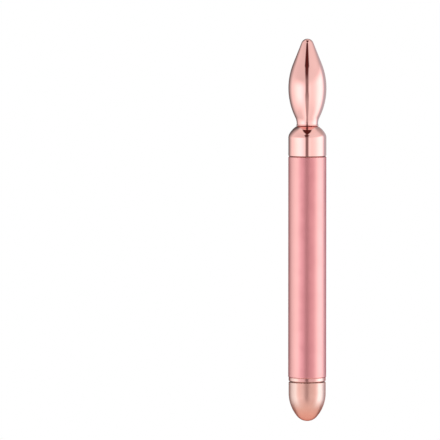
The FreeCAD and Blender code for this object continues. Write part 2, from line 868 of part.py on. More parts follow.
def make_battery_spring():
    """Conical wire spring between the plate and the cell, shown pressed as in use."""
    wire = size.spring_wire
    foot_radius = plate_radius - size.spring_inset
    foot = plate_top + wire + size.slip_gap
    height = cell_bottom - wire - size.slip_gap - foot
    narrowing = (foot_radius - size.spring_top_radius) / height
    path = doc.addObject("Part::Helix", "spring_path")
    path.setExpression("Pitch", (height / size.spring_turns).text)
    path.setExpression("Height", height.text)
    path.setExpression("Radius", foot_radius.text)
    path.setExpression("Angle", (-narrowing.arctangent()).text)
    path.setExpression("Placement.Base.z", foot.text)
    section = doc.addObject("Part::Circle", "spring_section")
    section.Placement = Placement(Vector(0, 0, 0), Rotation(Vector(1, 0, 0), 90))
    section.setExpression("Radius", wire.text)
    section.setExpression("Placement.Base.x", foot_radius.text)
    section.setExpression("Placement.Base.z", foot.text)
    spring = doc.addObject("Part::Sweep", "battery_spring")
    spring.Sections = [section]
    spring.Spine = (path, [])
    spring.Solid = True
    spring.Frenet = True
    keep(spring, "battery_spring")


def make_battery():
    """Round cell: jacket with a crimped shoulder, rounded edges and a raised positive nub."""
    shoulder = cell_top - size.cell_nub_height
    edge = size.cell_edge
    crimp_radius = size.cell_radius - size.cell_crimp_depth
    crimp_bottom = cell_bottom + size.cell_crimp_height
    piece = Piece("battery")
    profile = piece.outline("section")
    profile.start(0, cell_bottom)
    profile.line_to(crimp_radius - edge, cell_bottom)
    profile.arc_to(crimp_radius, cell_bottom + edge, edge, 1)
    profile.line_to(crimp_radius, crimp_bottom)
    profile.line_to(size.cell_radius, crimp_bottom + size.cell_crimp_depth)
    profile.line_to(size.cell_radius, shoulder - edge)
    profile.arc_to(size.cell_radius - edge, shoulder, edge, 1)
    profile.line_to(size.cell_nub_radius, shoulder)
    profile.line_to(size.cell_nub_radius, cell_top)
    profile.line_to(0, cell_top)
    profile.close()
    piece.turn(profile)


# Carrier: two moulded halves with board bay, motor cradle, weight shroud and lead channels.


def make_carrier_half(label, side):
    """One half of the carrier, in front of the board (-1) or behind it (1)."""
    front = side < 0
    piece = Piece(label)
    shell = piece.outline("section")
    shell.start(0, carrier_bottom)
    shell.line_to(carrier_radius, carrier_bottom)
    shell.line_to(carrier_radius, carrier_step)
    shell.line_to(carrier_neck, carrier_step)
    shell.line_to(carrier_neck, neck_top)
    shell.line_to(shroud_radius, neck_top)
    shell.line_to(shroud_radius, shroud_top)
    shell.line_to(0, shroud_top)
    shell.close()
    piece.turn(shell, angle=180.0, reverse=front)
    cut_board_bay(piece, front)
    cut_motor_cradle(piece)
    cut_lead_channel(piece, side)
    add_pegs_or_holes(piece, front)
    if front:
        cut_contact_slot(piece)
    else:
        cut_clip_window(piece)


def cut_board_bay(piece, front):
    """Hollow for the parts on the board, slot for its edges and opening for its tongue."""
    bay = piece.outline("bay")
    bay.rectangle(-bay_half_width, bay_bottom, bay_half_width, bay_top)
    piece.pocket(bay, bay_depth, reverse=front)
    slot_edge = board_half_width + size.slip_gap
    slot = piece.outline("slot").rectangle(-slot_edge, bay_bottom, slot_edge, bay_top)
    piece.pocket(slot, solder_face, reverse=front)
    opening = piece.outline("opening")
    half = tongue_half_width + size.tab_opening_gap
    opening.rectangle(-half, bay_top, half, motor_seat)
    piece.pocket(opening, size.tab_opening_depth, reverse=front)
    recess = piece.outline("contact_recess", "XY_Plane", carrier_bottom)
    recess.circle(0, 0, size.contact_radius + size.slip_gap)
    piece.pocket(recess, contact_back - carrier_bottom, reverse=True)


def cut_motor_cradle(piece):
    """Cradle with flats for the motor, hole for its bush and shroud for the eccentric weight."""
    cradle = piece.outline("cradle", "XY_Plane", motor_top + size.slip_gap)
    cradle.flatted_round(motor_radius + size.slip_gap, motor_flat + size.slip_gap)
    piece.pocket(cradle, size.motor_length + size.slip_gap)
    shroud = piece.outline("shroud", "XY_Plane", shroud_top)
    shroud.circle(0, 0, shroud_bore)
    piece.pocket(shroud, size.shroud_depth)
    bush_hole = piece.outline("bush_hole", "XY_Plane", shroud_floor_top)
    bush_hole.circle(0, 0, size.bush_radius + size.slip_gap)
    piece.pocket(bush_hole, size.shroud_floor)


def cut_lead_channel(piece, side):
    """Channel down the carrier's outside for a pair of leads, and the window where they enter."""
    half = size.lead_channel_half_width
    far = side * tube_bore
    channel = piece.outline("channel", "XY_Plane", neck_top)
    channel.rectangle(-half, side * shroud_radius, half, far)
    piece.pocket(channel, neck_top - lead_window_bottom)
    window = piece.outline("window", "XY_Plane", lead_window_bottom + size.window_height)
    window.rectangle(-half, side * (bay_depth - size.shroud_wall), half, far)
    piece.pocket(window, size.window_height)


def add_pegs_or_holes(piece, front):
    """Pegs on the front half that locate in holes of the back half, two to each bulkhead."""
    lower = contact_back + size.lower_bulkhead / 2
    upper = bay_top + size.upper_bulkhead / 2
    radius = size.peg_radius if front else size.peg_radius + size.peg_gap
    spread = carrier_radius - size.peg_edge
    places = piece.outline("pegs" if front else "peg_holes")
    for x, z in ((-1, lower), (1, lower), (-1, upper), (1, upper)):
        places.circle(x * spread, z, radius)
    if front:
        piece.pad(places, size.peg_length, reverse=True)
    else:
        piece.pocket(places, size.peg_length + 2 * size.peg_gap)


def cut_contact_slot(piece):
    """Slot through the lower bulkhead for the positive contact's tab."""
    half = size.contact_tab_half_width + size.slip_gap
    slot = piece.outline("contact_slot").rectangle(-half, contact_back, half, bay_bottom)
    piece.pocket(slot, solder_face + size.contact_thickness + size.slip_gap, reverse=True)


def cut_clip_window(piece):
    """Window that lets the earth clip reach the inside of the tube."""
    half = size.clip_width / 2 + size.contact_guard
    left = bay_half_width - size.slip_gap
    window = piece.outline("clip_window")
    window.rectangle(left, clip_middle - half, carrier_radius, clip_middle + half)
    piece.pocket(window, solder_face + size.clip_reach + size.clip_return + size.contact_guard)


# Electric parts in the carrier.


def make_circuit_board():
    """Board held by its edges, with a narrower tongue that reaches the motor's tabs."""
    wide, narrow = board_half_width, tongue_half_width
    bottom = bay_bottom + size.slip_gap
    shoulder = bay_top - size.slip_gap
    top = shoulder + size.board_tongue_length
    piece = Piece("circuit_board")
    shape = piece.outline("shape", height=-board_face)
    shape.start(-wide, bottom).line_to(wide, bottom).line_to(wide, shoulder)
    shape.line_to(narrow, shoulder).line_to(narrow, top).line_to(-narrow, top)
    shape.line_to(-narrow, shoulder).line_to(-wide, shoulder).close()
    piece.pad(shape, size.board_thickness)


def make_control_chip():
    """Flat controller on the front of the board."""
    chip = doc.addObject("Part::Box", "control_chip")
    chip.setExpression("Length", size.chip_width.text)
    chip.setExpression("Width", size.chip_height.text)
    chip.setExpression("Height", size.chip_length.text)
    chip.setExpression("Placement.Base.x", (-size.chip_width / 2).text)
    chip.setExpression("Placement.Base.y", (-solder_face - size.chip_height).text)
    chip.setExpression("Placement.Base.z", chip_bottom.text)
    keep(chip, "control_chip")


def make_boost_coil():
    """Drum shaped coil on the back of the board."""
    waist = size.coil_radius - size.coil_winding_depth
    top = solder_face + size.coil_height
    piece = Piece("boost_coil")
    drum = piece.outline("drum", "XY_Plane", coil_middle)
    drum.start(0, solder_face).line_to(size.coil_radius, solder_face)
    drum.line_to(size.coil_radius, solder_face + size.coil_flange)
    drum.line_to(waist, solder_face + size.coil_flange)
    drum.line_to(waist, top - size.coil_flange)
    drum.line_to(size.coil_radius, top - size.coil_flange)
    drum.line_to(size.coil_radius, top)
    drum.line_to(0, top).close()
    piece.turn(drum)


def make_capacitor():
    """Round capacitor on the back of the board."""
    top = solder_face + size.capacitor_height
    edge = size.capacitor_edge
    piece = Piece("capacitor")
    can = piece.outline("can", "XY_Plane", capacitor_middle)
    can.start(0, solder_face).line_to(size.capacitor_radius, solder_face)
    can.line_to(size.capacitor_radius, top - edge)
    can.arc_to(size.capacitor_radius - edge, top, edge, 1)
    can.line_to(0, top).close()
    piece.turn(can)


def make_positive_contact():
    """Round contact under the lower bulkhead with a tab that is soldered to the board."""
    tab_half = size.contact_tab_half_width
    tab_outer = -(solder_face + size.contact_thickness)
    piece = Piece("positive_contact")
    disc = piece.outline("disc", "XY_Plane", contact_face).circle(0, 0, size.contact_radius)
    piece.pad(disc, size.contact_thickness)
    tab = piece.outline("tab", "XY_Plane", contact_face)
    tab.rectangle(-tab_half, tab_outer, tab_half, -solder_face)
    piece.pad(tab, bay_bottom + size.contact_tab_rise - contact_face)


def make_earth_clip():
    """Bent spring strip from the board's back to the inside of the tube."""
    thick = size.clip_thickness
    touch = tube_bore - size.slip_gap
    crest_y = solder_face + size.clip_reach
    crest_x = (touch * touch - crest_y * crest_y).root()
    end_x = crest_x - size.clip_return / 2
    end_y = crest_y + size.clip_return
    bend_x = carrier_radius - size.clip_bend_edge
    piece = Piece("earth_clip")
    strip = piece.outline("strip", "XY_Plane", clip_middle - size.clip_width / 2)
    strip.start(size.clip_foot, solder_face)
    strip.line_to(bend_x, solder_face)
    strip.line_to(crest_x, crest_y)
    strip.line_to(end_x, end_y)
    strip.line_to(end_x - thick, end_y - thick / 2)
    strip.line_to(crest_x - 3 * thick / 2, crest_y + thick / 4)
    strip.line_to(bend_x - thick / 2, solder_face + thick)
    strip.line_to(size.clip_foot, solder_face + thick)
    strip.close()
    piece.pad(strip, size.clip_width)


# Motor and eccentric weight.


def make_motor_can():
    """Drawn can with two flats, open at its foot and bored for the bush at its top."""
    wall = size.can_wall
    piece = Piece("motor_can")
    outside = piece.outline("outside", "XY_Plane", can_bottom)
    piece.pad(outside.flatted_round(motor_radius, motor_flat), motor_top - can_bottom)
    inside = piece.outline("inside", "XY_Plane", can_bottom)
    inside.flatted_round(motor_radius - wall, motor_flat - wall)
    piece.pocket(inside, motor_top - can_bottom - wall, reverse=True)
    hole = piece.outline("bush_hole", "XY_Plane", motor_top).circle(0, 0, size.bush_radius + size.glue_gap)
    piece.pocket(hole, wall)


def make_motor_end_bell():
    """Moulded lid of the motor with the lower bearing."""
    piece = Piece("motor_end_bell")
    plate = piece.outline("plate", "XY_Plane", motor_seat)
    piece.pad(plate.flatted_round(motor_radius, motor_flat), size.end_bell_length)
    bearing = piece.outline("bearing", "XY_Plane", motor_seat + size.shaft_foot)
    bearing.circle(0, 0, size.shaft_radius + size.turning_gap)
    piece.pocket(bearing, size.end_bell_length, reverse=True)


def make_motor_bush():
    """Sintered bush in the top of the can."""
    top = motor_top + size.bush_stand
    inner = size.shaft_radius + size.turning_gap
    plain_ring("motor_bush", inner, size.bush_radius, top - size.bush_length, top)


def make_motor_magnet(label, side):
    """Curved magnet against the round side of the can."""
    outer = magnet_radius
    inner = outer - size.magnet_thickness
    sine, cosine = size.magnet_half_angle.sine(), size.magnet_half_angle.cosine()
    bottom = can_bottom + size.armature_foot - size.commutator_length
    piece = Piece(label)
    section = piece.outline("section", "XY_Plane", bottom)
    section.start(side * inner * cosine, -side * inner * sine)
    section.line_to(side * outer * cosine, -side * outer * sine)
    section.arc_to(side * outer * cosine, side * outer * sine, outer, 1)
    section.line_to(side * inner * cosine, side * inner * sine)
    section.arc_home(inner, -1)
    piece.pad(section, size.magnet_length)


def make_motor_terminal(label, side):
    """Tab from the end bell down to the front of the board's tongue."""
    tab = doc.addObject("Part::Box", label)
    tab.setExpression("Length", size.tab_width.text)
    tab.setExpression("Width", size.tab_thickness.text)
    tab.setExpression("Height", size.tab_length.text)
    tab.setExpression("Placement.Base.x", (side * tab_place - size.tab_width / 2).text)
    tab.setExpression("Placement.Base.y", (-solder_face - size.tab_thickness).text)
    tab.setExpression("Placement.Base.z", (motor_seat - size.tab_length).text)
    keep(tab, label)


def make_armature():
    """Three pole armature with its commutator, fixed on the shaft."""
    bottom = can_bottom + size.armature_foot
    top = bottom + size.armature_length
    piece = Piece("armature")
    core = piece.outline("core")
    core.start(size.shaft_radius, bottom - size.commutator_length)
    core.line_to(size.commutator_radius, bottom - size.commutator_length)
    core.line_to(size.commutator_radius, bottom)
    core.line_to(armature_radius, bottom)
    core.line_to(armature_radius, top)
    core.line_to(size.shaft_radius, top)
    core.close()
    piece.turn(core)
    half = size.armature_slot_width / 2
    slot = piece.outline("slot", "XY_Plane", top)
    floor = armature_radius - size.armature_slot_depth
    slot.rectangle(-half, floor, half, armature_radius + size.slip_gap)
    piece.pocket(slot, size.armature_length)
    pattern = piece.body.newObject("PartDesign::PolarPattern", "armature_slots")
    pattern.Originals = [piece.body.Tip]
    pattern.Axis = (slot.sketch, ["N_Axis"])
    pattern.Angle = 360.0
    pattern.Occurrences = 3
    piece.body.Tip = pattern


def make_motor_shaft():
    """Shaft from the end bell's bearing to just above the eccentric weight."""
    shaft = doc.addObject("Part::Cylinder", "motor_shaft")
    bottom = motor_seat + size.shaft_foot + size.slip_gap
    shaft.setExpression("Radius", size.shaft_radius.text)
    shaft.setExpression("Height", (shaft_top - bottom).text)
    shaft.setExpression("Placement.Base.z", bottom.text)
    keep(shaft, "motor_shaft")


def make_eccentric_weight():
    """Half round weight with a hub, pressed on the shaft."""
    rim, hub = weight_radius, size.weight_hub
    piece = Piece("eccentric_weight")
    outline = piece.outline("hub", "XY_Plane", weight_bottom)
    outline.circle(0, 0, hub).circle(0, 0, size.shaft_radius)
    piece.pad(outline, size.weight_height)
    lobe_edge = (rim * rim - hub * hub / 4).root()
    lobe = piece.outline("lobe", "XY_Plane", weight_bottom)
    lobe.start(-lobe_edge, hub / 2)
    lobe.line_to(lobe_edge, hub / 2)
    lobe.arc_to(0, rim, rim, 1)
    lobe.arc_home(rim, 1)
    piece.pad(lobe, size.weight_height)


def main():
    """Build every sub-part, check it and write its file."""
    make_massage_head()
    make_head_washer()
    make_head_nut()
    make_heater_core()
    make_thermistor()
    make_lead_pair("heater_leads", size.heater_lead, heater_lead_place, heater_bottom, 1)
    make_lead_pair("thermistor_leads", size.thermistor_lead, size.bead_lead_spread, bead_bottom, -1)
    make_collar()
    make_collar_gasket()
    make_body_tube()
    make_insulating_sleeve()
    make_tail_ring()
    make_end_cap()
    make_cap_insert()
    make_cap_seal()
    make_spring_plate()
    make_battery_spring()
    make_battery()
    make_carrier_half("carrier_front", -1)
    make_carrier_half("carrier_back", 1)
    make_circuit_board()
    make_control_chip()
    make_boost_coil()
    make_capacitor()
    make_positive_contact()
    make_earth_clip()
    make_motor_can()
    make_motor_end_bell()
    make_motor_bush()
    make_motor_magnet("magnet_left", -1)
    make_motor_magnet("magnet_right", 1)
    make_motor_terminal("terminal_positive", -1)
    make_motor_terminal("terminal_negative", 1)
    make_armature()
    make_motor_shaft()
    make_eccentric_weight()
    doc.recompute()
    check_and_write()


def check_and_write():
    """Stop if anything failed to build, then write one file for each sub-part."""
    for thing in doc.Objects:
        if "Invalid" in thing.State or "Error" in thing.State:
            raise ValueError(f"{thing.Name} didn't build")
    for piece in pieces:
        if piece.Shape.isNull() or not piece.Shape.isValid():
            raise ValueError(f"{piece.Label} has no valid shape")
    os.makedirs("parts", exist_ok=True)
    for piece in pieces:
        piece.Shape.exportStep(f"parts/{piece.Label}.step")
        print(f"{piece.Label}: {len(piece.Shape.Solids)} solid(s), {piece.Shape.Volume:.1f} mm3")


main()
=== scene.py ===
"""Looks of a heated, vibrating eye massager wand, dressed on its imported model."""

import json
import logging
import math
from collections.abc import Callable, Sequence
from dataclasses import dataclass
from enum import Enum, IntEnum

import bmesh
import bpy
from mathutils import Matrix, Vector

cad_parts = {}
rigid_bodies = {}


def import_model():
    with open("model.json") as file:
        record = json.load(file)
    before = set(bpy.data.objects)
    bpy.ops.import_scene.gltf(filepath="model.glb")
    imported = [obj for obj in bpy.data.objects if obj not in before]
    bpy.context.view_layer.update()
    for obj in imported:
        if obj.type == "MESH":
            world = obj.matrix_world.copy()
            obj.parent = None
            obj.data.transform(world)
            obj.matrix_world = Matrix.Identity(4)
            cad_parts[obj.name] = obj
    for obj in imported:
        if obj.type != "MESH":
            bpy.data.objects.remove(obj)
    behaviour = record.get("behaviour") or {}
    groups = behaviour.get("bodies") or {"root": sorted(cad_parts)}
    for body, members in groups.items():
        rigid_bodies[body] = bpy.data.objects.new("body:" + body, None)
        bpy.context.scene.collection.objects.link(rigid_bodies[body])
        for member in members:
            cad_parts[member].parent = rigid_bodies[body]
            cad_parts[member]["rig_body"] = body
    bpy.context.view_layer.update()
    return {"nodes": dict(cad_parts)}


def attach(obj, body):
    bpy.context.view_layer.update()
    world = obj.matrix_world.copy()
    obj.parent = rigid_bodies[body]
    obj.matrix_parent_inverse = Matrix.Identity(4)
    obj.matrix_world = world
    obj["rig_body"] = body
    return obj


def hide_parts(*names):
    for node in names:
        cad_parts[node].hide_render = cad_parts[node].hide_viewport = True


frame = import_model()

log = logging.getLogger("eye_wand")

MM = 0.001
WELD = 1e-7
HAIR = 1e-6
HALF = 0.5
WHITE = (1.0, 1.0, 1.0)
NOISE_SPAN = (0.2, 0.8)
Pair = tuple[float, float]
Triple = tuple[float, float, float]
Colour = Triple
Sizes = tuple[float, float, float, float]


# Node trees written as values.


def math_operator(operation: str, swapped: bool = False) -> Callable[["Wire", "Wire | float"], "Wire"]:
    """One of Python's operators as a Math node.

    Args:
        operation: The node's operation.
        swapped: Whether the wire is its second value, as where a number stands first.

    Returns:
        The method that adds the node.
    """

    def work(wire: "Wire", other: "Wire | float") -> "Wire":
        """Add the node."""
        return wire.sheet.math(operation, *((other, wire) if swapped else (wire, other)))

    return work


class Wire:
    """A node's output that Python's operators work on, each adding its Math node."""

    def __init__(self, sheet: "NodeSheet", socket: bpy.types.NodeSocket) -> None:
        """Keep the output and the sheet that it is on."""
        self.sheet, self.socket = sheet, socket

    __add__ = __radd__ = math_operator("ADD")
    __sub__, __rsub__ = math_operator("SUBTRACT"), math_operator("SUBTRACT", swapped=True)
    __mul__ = __rmul__ = math_operator("MULTIPLY")
    __truediv__, __rtruediv__ = math_operator("DIVIDE"), math_operator("DIVIDE", swapped=True)
    __mod__ = math_operator("FLOORED_MODULO")
    __gt__, __lt__ = math_operator("GREATER_THAN"), math_operator("LESS_THAN")

    def __abs__(self) -> "Wire":
        """Size without its sign."""
        return self.sheet.math("ABSOLUTE", self)

    def fade(self, low: float, high: float) -> "Wire":
        """Rise smoothly from nought at low to one at high."""
        return self.sheet.remap(self, (low, high), smooth=True)


class NodeSheet:
    """A tree of nodes that is filled in by expressions."""

    def __init__(self, tree: bpy.types.NodeTree) -> None:
        """Keep the tree."""
        self.tree = tree

    def node(self, kind: str, inputs: dict | None = None, **settings: object) -> bpy.types.Node:
        """Add a node.

        Args:
            kind: The node's type.
            inputs: Values or wires by the input's name or number.
            **settings: Its settings, with a ramp's stops as "stops". They are set first.

        Returns:
            The node.
        """
        made = self.tree.nodes.new(kind)
        for name, value in settings.items():
            if name == "stops":
                self._fill_ramp(made.color_ramp, value)
            else:
                setattr(made, name, value)
        for name, value in (inputs or {}).items():
            self.plug(made, name, value)
        return made

    def plug(self, node: bpy.types.Node, name: str | int, value: Wire | float | Sequence[float]) -> None:
        """Give a node's input a value of its own or a wire.

        Args:
            node: The node.
            name: The input's name or number.
            value: What it gets.
        """
        if isinstance(value, Wire):
            self.tree.links.new(value.socket, node.inputs[name])
        else:
            node.inputs[name].default_value = value

    def wire(self, kind: str, inputs: dict | None = None, output: str | int = 0, **settings: object) -> Wire:
        """Add a node and take its output of a name or number."""
        return Wire(self, self.node(kind, inputs, **settings).outputs[output])

    def math(self, operation: str, *values: Wire | float) -> Wire:
        """Work a Math node on its values in order."""
        return self.wire("ShaderNodeMath", dict(enumerate(values)), operation=operation)

    def remap(self, value: Wire, source: Pair, target: Pair = (0.0, 1.0), smooth: bool = False) -> Wire:
        """Carry a value from one range to another and hold it there, eased in and out where smooth."""
        inputs, easing = dict(enumerate((value, *source, *target))), "SMOOTHSTEP" if smooth else "LINEAR"
        return self.wire("ShaderNodeMapRange", inputs, interpolation_type=easing)

    def axes(self, place: Wire) -> tuple[Wire, ...]:
        """Split a place into its three coordinates."""
        split = self.node("ShaderNodeSeparateXYZ", {0: place})
        return tuple(Wire(self, output) for output in split.outputs)

    def across(self, first: Wire, second: Wire) -> Wire:
        """How far a point is from where both coordinates are nought."""
        return self.math("SQRT", first * first + second * second)

    def blend(self, factor: Wire, first: Colour | Wire, second: Colour | Wire) -> Wire:
        """Mix two colours by a factor, on the Mix node's own sockets for colours."""
        one, other = (side if isinstance(side, Wire) else (*side, 1.0) for side in (first, second))
        return self.wire("ShaderNodeMix", {0: factor, 6: one, 7: other}, 2, data_type="RGBA")

    def mix(self, factor: Wire, first: Wire, second: Wire) -> Wire:
        """Mix two surfaces by a factor."""
        return self.wire("ShaderNodeMixShader", {0: factor, 1: first, 2: second})

    def ramp(self, where: Wire, ends: Pair, stops: Sequence, top: float = 2.0) -> Wire:
        """A colour, or a number as a grey, that changes along a value.

        Args:
            where: The value.
            ends: The values at which the ramp begins and ends.
            stops: Values with their colours or numbers.
            top: The greatest number that a stop may have, because a ramp itself ends at one.

        Returns:
            The colour.
        """
        low, high = ends
        inner = []
        for place, colour in stops:
            parts = colour if isinstance(colour, tuple) else (colour,) * 3
            inner.append(((place - low) / (high - low), [part / top for part in parts]))
        share = self.wire("ShaderNodeValToRGB", {0: (where - low) / (high - low)}, stops=inner)
        return self.wire("ShaderNodeVectorMath", {0: share, "Scale": top}, operation="SCALE")

    def _fill_ramp(self, ramp: bpy.types.ColorRamp, stops: Sequence[tuple[float, Sequence[float]]]) -> None:
        """Write a ramp's stops.

        Args:
            ramp: The ramp.
            stops: Its stops in order, each a place with a colour.
        """
        while len(ramp.elements) > 1:
            ramp.elements.remove(ramp.elements[-1])
        for index, (place, colour) in enumerate(stops):
            element = ramp.elements.new(place) if index else ramp.elements[0]
            element.position, element.color = place, (*colour, 1.0)


class ShaderSheet(NodeSheet):
    """The tree of a material, with its Principled shader ready."""

    def __init__(self, tree: bpy.types.NodeTree) -> None:
        """Start from the shader and the output alone.

        Args:
            tree: The material's tree.
        """
        super().__init__(tree)
        tree.nodes.clear()
        self.shader = self.node("ShaderNodeBsdfPrincipled")
        self.output = self.node("ShaderNodeOutputMaterial")
        self.show(self.surface())

    def surface(self) -> Wire:
        """What the shader makes."""
        return Wire(self, self.shader.outputs[0])

    def show(self, surface: Wire) -> None:
        """Let the material show a surface."""
        self.plug(self.output, "Surface", surface)

    def feed(self, socket: str, value: Wire | float | Sequence[float]) -> None:
        """Give the shader's input a value of its own or a wire."""
        self.plug(self.shader, socket, value)

    def place(self, stretch: Triple = (1.0, 1.0, 1.0), centre: Triple = (0.0, 0.0, 0.0)) -> Wire:
        """Where on the piece a point is.

        Args:
            stretch: How often the pattern repeats along each axis.
            centre: The point that becomes the origin.

        Returns:
            The place as a vector.
        """
        where = self.wire("ShaderNodeTexCoord", output="Object")
        moved = self.wire("ShaderNodeVectorMath", {0: where, 1: centre}, operation="SUBTRACT")
        return self.wire("ShaderNodeVectorMath", {0: moved, 1: stretch}, operation="MULTIPLY")

    def noise(self, place: Wire, scale: float, detail: float = 3.0, harsh: float = 0.5) -> Wire:
        """Even noise from nought to one at a place."""
        inputs = {"Vector": place, "Scale": scale, "Detail": detail, "Roughness": harsh}
        return self.wire("ShaderNodeTexNoise", inputs)

    def glow(self, colour: Colour | Wire) -> Wire:
        """A surface that shines in a colour."""
        colour = colour if isinstance(colour, Wire) else (*colour, 1.0)
        return self.wire("ShaderNodeEmission", {"Color": colour})

    def clear(self) -> Wire:
        """A surface that isn't seen."""
        return self.wire("ShaderNodeBsdfTransparent")

    def glossy_and_behind(self) -> tuple[Wire, Wire]:
        """One in reflections, and one on the back of a sheet."""
        glossy = self.wire("ShaderNodeLightPath", output="Is Glossy Ray")
        return glossy, self.wire("ShaderNodeNewGeometry", output="Backfacing")

    def vary_gloss(self, noise: Wire, span: Pair) -> None:
        """Let the roughness follow a noise through a span."""
        self.feed("Roughness", self.remap(noise, NOISE_SPAN, span))

    def emboss(self, height: Wire, depth: float) -> None:
        """Raise the surface by a height from nought to one times a depth in millimetres."""
        inputs = {"Strength": 1.0, "Distance": depth * MM, "Height": height}
        self.feed("Normal", self.wire("ShaderNodeBump", inputs))


# Finishes.


class Lay(Enum):
    """Which way the fine marks of a finish run."""

    EVEN = (1.0, 1.0, 1.0)
    ROUND = (0.02, 0.02, 1.0)
    ALONG = (1.0, 1.0, 0.02)


@dataclass(frozen=True)
class Finish:
    """A finish that makes one material, named for what it looks like."""

    name: str

    def material(self) -> bpy.types.Material:
        """The finish's material, made on first use.

        Returns:
            The material.
        """
        if self.name not in bpy.data.materials:
            made = bpy.data.materials.new(self.name)
            made.use_nodes = True
            self.lay_down(ShaderSheet(made.node_tree))
        return bpy.data.materials[self.name]

    def lay_down(self, sheet: ShaderSheet) -> None:
        """Fill in the material's sheet."""
        raise NotImplementedError


@dataclass(frozen=True)
class Skin(Finish):
    """A mottled skin with fine marks, which most pieces wear.

    Sizes of patches and marks are in millimetres, and so is the depth of the marks. The edge is
    the tint of a metal's shine where it is seen nearly edge-on.
    """

    colour: Colour
    patch_colour: Colour
    metal: float = 0.0
    gloss: Pair = (0.4, 0.5)
    patch: float = 6.0
    mark: float = 0.3
    mark_depth: float = 0.002
    lay: Lay = Lay.EVEN
    coat: float = 0.0
    patch_fade: Pair = (0.35, 0.65)
    edge: Colour = WHITE

    def lay_down(self, sheet: ShaderSheet) -> None:
        """Mottle the colour, vary the roughness and raise the marks.

        Args:
            sheet: The material's sheet.
        """
        patches = sheet.noise(sheet.place(), 1.0 / (self.patch * MM), detail=2.0).fade(*self.patch_fade)
        marks = sheet.noise(sheet.place(self.lay.value), 1.0 / (self.mark * MM), detail=4.0, harsh=0.6)
        sheet.feed("Base Color", self.colouring(sheet, patches))
        sheet.feed("Metallic", self.metal)
        sheet.vary_gloss(marks * 0.5 + patches * 0.5, self.gloss)
        sheet.feed("Coat Weight", self.coat)
        sheet.feed("Specular Tint", (*self.edge, 1.0))
        sheet.emboss(marks, self.mark_depth)

    def colouring(self, sheet: ShaderSheet, patches: Wire) -> Wire:
        """The colour, which goes over to that of the patches."""
        return sheet.blend(patches, self.colour, self.patch_colour)


@dataclass(frozen=True)
class PaintedSheenSkin(Skin):
    """A plated or anodised skin with a painted sheen, its colour paler where it is seen at a slant.

    Stops give the share of the painted sheen colour, from seen square-on at nought to edge-on at one.
    The painted sheen goes out between two heights where they are given, which leaves the part below
    them darker: painted shade.
    """

    pale: Colour = WHITE
    slant: tuple[Pair, ...] = ((0.0, 0.0), (1.0, 1.0))
    painted_sheen_fade_below: Pair | None = None

    def colouring(self, sheet: ShaderSheet, patches: Wire) -> Wire:
        """The skin's colour, gone over to the pale painted sheen colour by the slant.

        Args:
            sheet: The material's sheet.
            patches: Where the patches are.

        Returns:
            The colour.
        """
        # Painted sheen: the colour turns paler with the slant of the surface to the view, in place of
        # reflected light.
        facing = sheet.wire("ShaderNodeLayerWeight", {"Blend": 0.5}, "Facing")
        share = sheet.ramp(facing, (0.0, 1.0), self.slant)
        # Painted shade: between two heights the painted sheen goes out, so the part below keeps the darker
        # colour.
        if self.painted_sheen_fade_below:
            share = share * (sheet.axes(sheet.place())[2] / MM).fade(*self.painted_sheen_fade_below)
        return sheet.blend(share, super().colouring(sheet, patches), self.pale)


@dataclass(frozen=True)
class Bands(Skin):
    """A skin whose colour changes in even layers up its height, as a stack of sheets does.

    The shares say how much of the patches' colour a seam and a patch take.
    """

    pitch: float = 0.5
    seam: float = 0.18
    shares: Pair = (0.8, 0.2)

    def colouring(self, sheet: ShaderSheet, patches: Wire) -> Wire:
        """The skin's colour, with the seam between two layers in that of the patches."""
        step = (sheet.axes(sheet.place())[2] / (self.pitch * MM)) % 1.0
        return super().colouring(sheet, (step < self.seam) * self.shares[0] + patches * self.shares[1])


@dataclass(frozen=True)
class CellJacket(Finish):
    """Shrunk printed jacket of a round cell, open at both ends on bare nickel steel.

    Band, lines and plus sign are placed by their share of the height from foot to shoulder. It
    is metallic by three shares, on its foil, on its band and on the bare steel.
    """

    foot: float
    shoulder: float
    rim: float
    band: Pair = (0.62, 0.86)
    lines: Pair = (0.6, 0.885)
    half_line: float = 0.35
    plus: float = 0.74
    half_bar: float = 1.7
    half_stroke: float = 0.45
    lap: Pair = (0.3, 0.05)
    metal: Triple = (0.6, 0.25, 1.0)
    gloss: Pair = (0.24, 0.34)
    coat: float = 0.5
    grain: float = 2500.0
    drawn: Triple = (1.0, 1.0, 0.06)
    depth: float = 0.002
    foil: Colour = (0.55, 0.58, 0.62)
    print_colour: Colour = (0.035, 0.16, 0.2)
    stripe: Colour = (0.85, 0.86, 0.84)
    steel: tuple[Colour, Colour] = ((0.62, 0.61, 0.58), (0.5, 0.49, 0.47))

    def lay_down(self, sheet: ShaderSheet) -> None:
        """Lay the band, its lines, the plus sign and the bare ends.

        Args:
            sheet: The material's sheet.
        """
        x, y, z = sheet.axes(sheet.place())
        height, side = z / MM, abs(x / MM)
        shares = (*self.band, *self.lines, self.plus)
        low, high, first, second, middle = (self.foot + one * (self.shoulder - self.foot) for one in shares)
        band = (height > low) * (height < high)
        line = (abs(height - first) < self.half_line) + (abs(height - second) < self.half_line)
        rise = abs(height - middle)
        upright = (side < self.half_stroke) * (rise < self.half_bar)
        level = (side < self.half_bar) * (rise < self.half_stroke)
        plus = ((upright + level) > HALF) * (y < 0.0)
        fine = sheet.noise(sheet.place(self.drawn), self.grain)
        jacket = sheet.blend(band, self.foil, self.print_colour)
        jacket = sheet.blend((line + plus) > HALF, jacket, self.stripe)
        ends = (height > self.shoulder - self.lap[1]) + (height < self.foot + self.lap[0])
        ends = ends * (sheet.across(x, y) / MM < self.rim)
        sheet.feed("Base Color", sheet.blend(ends, jacket, sheet.blend(fine, *self.steel)))
        foil, band_metal, steel = self.metal
        sheet.feed("Metallic", ends * (steel - foil) + foil - band * (foil - band_metal))
        sheet.vary_gloss(fine, self.gloss)
        sheet.feed("Coat Weight", (1 - ends) * self.coat)
        sheet.emboss(fine, self.depth)


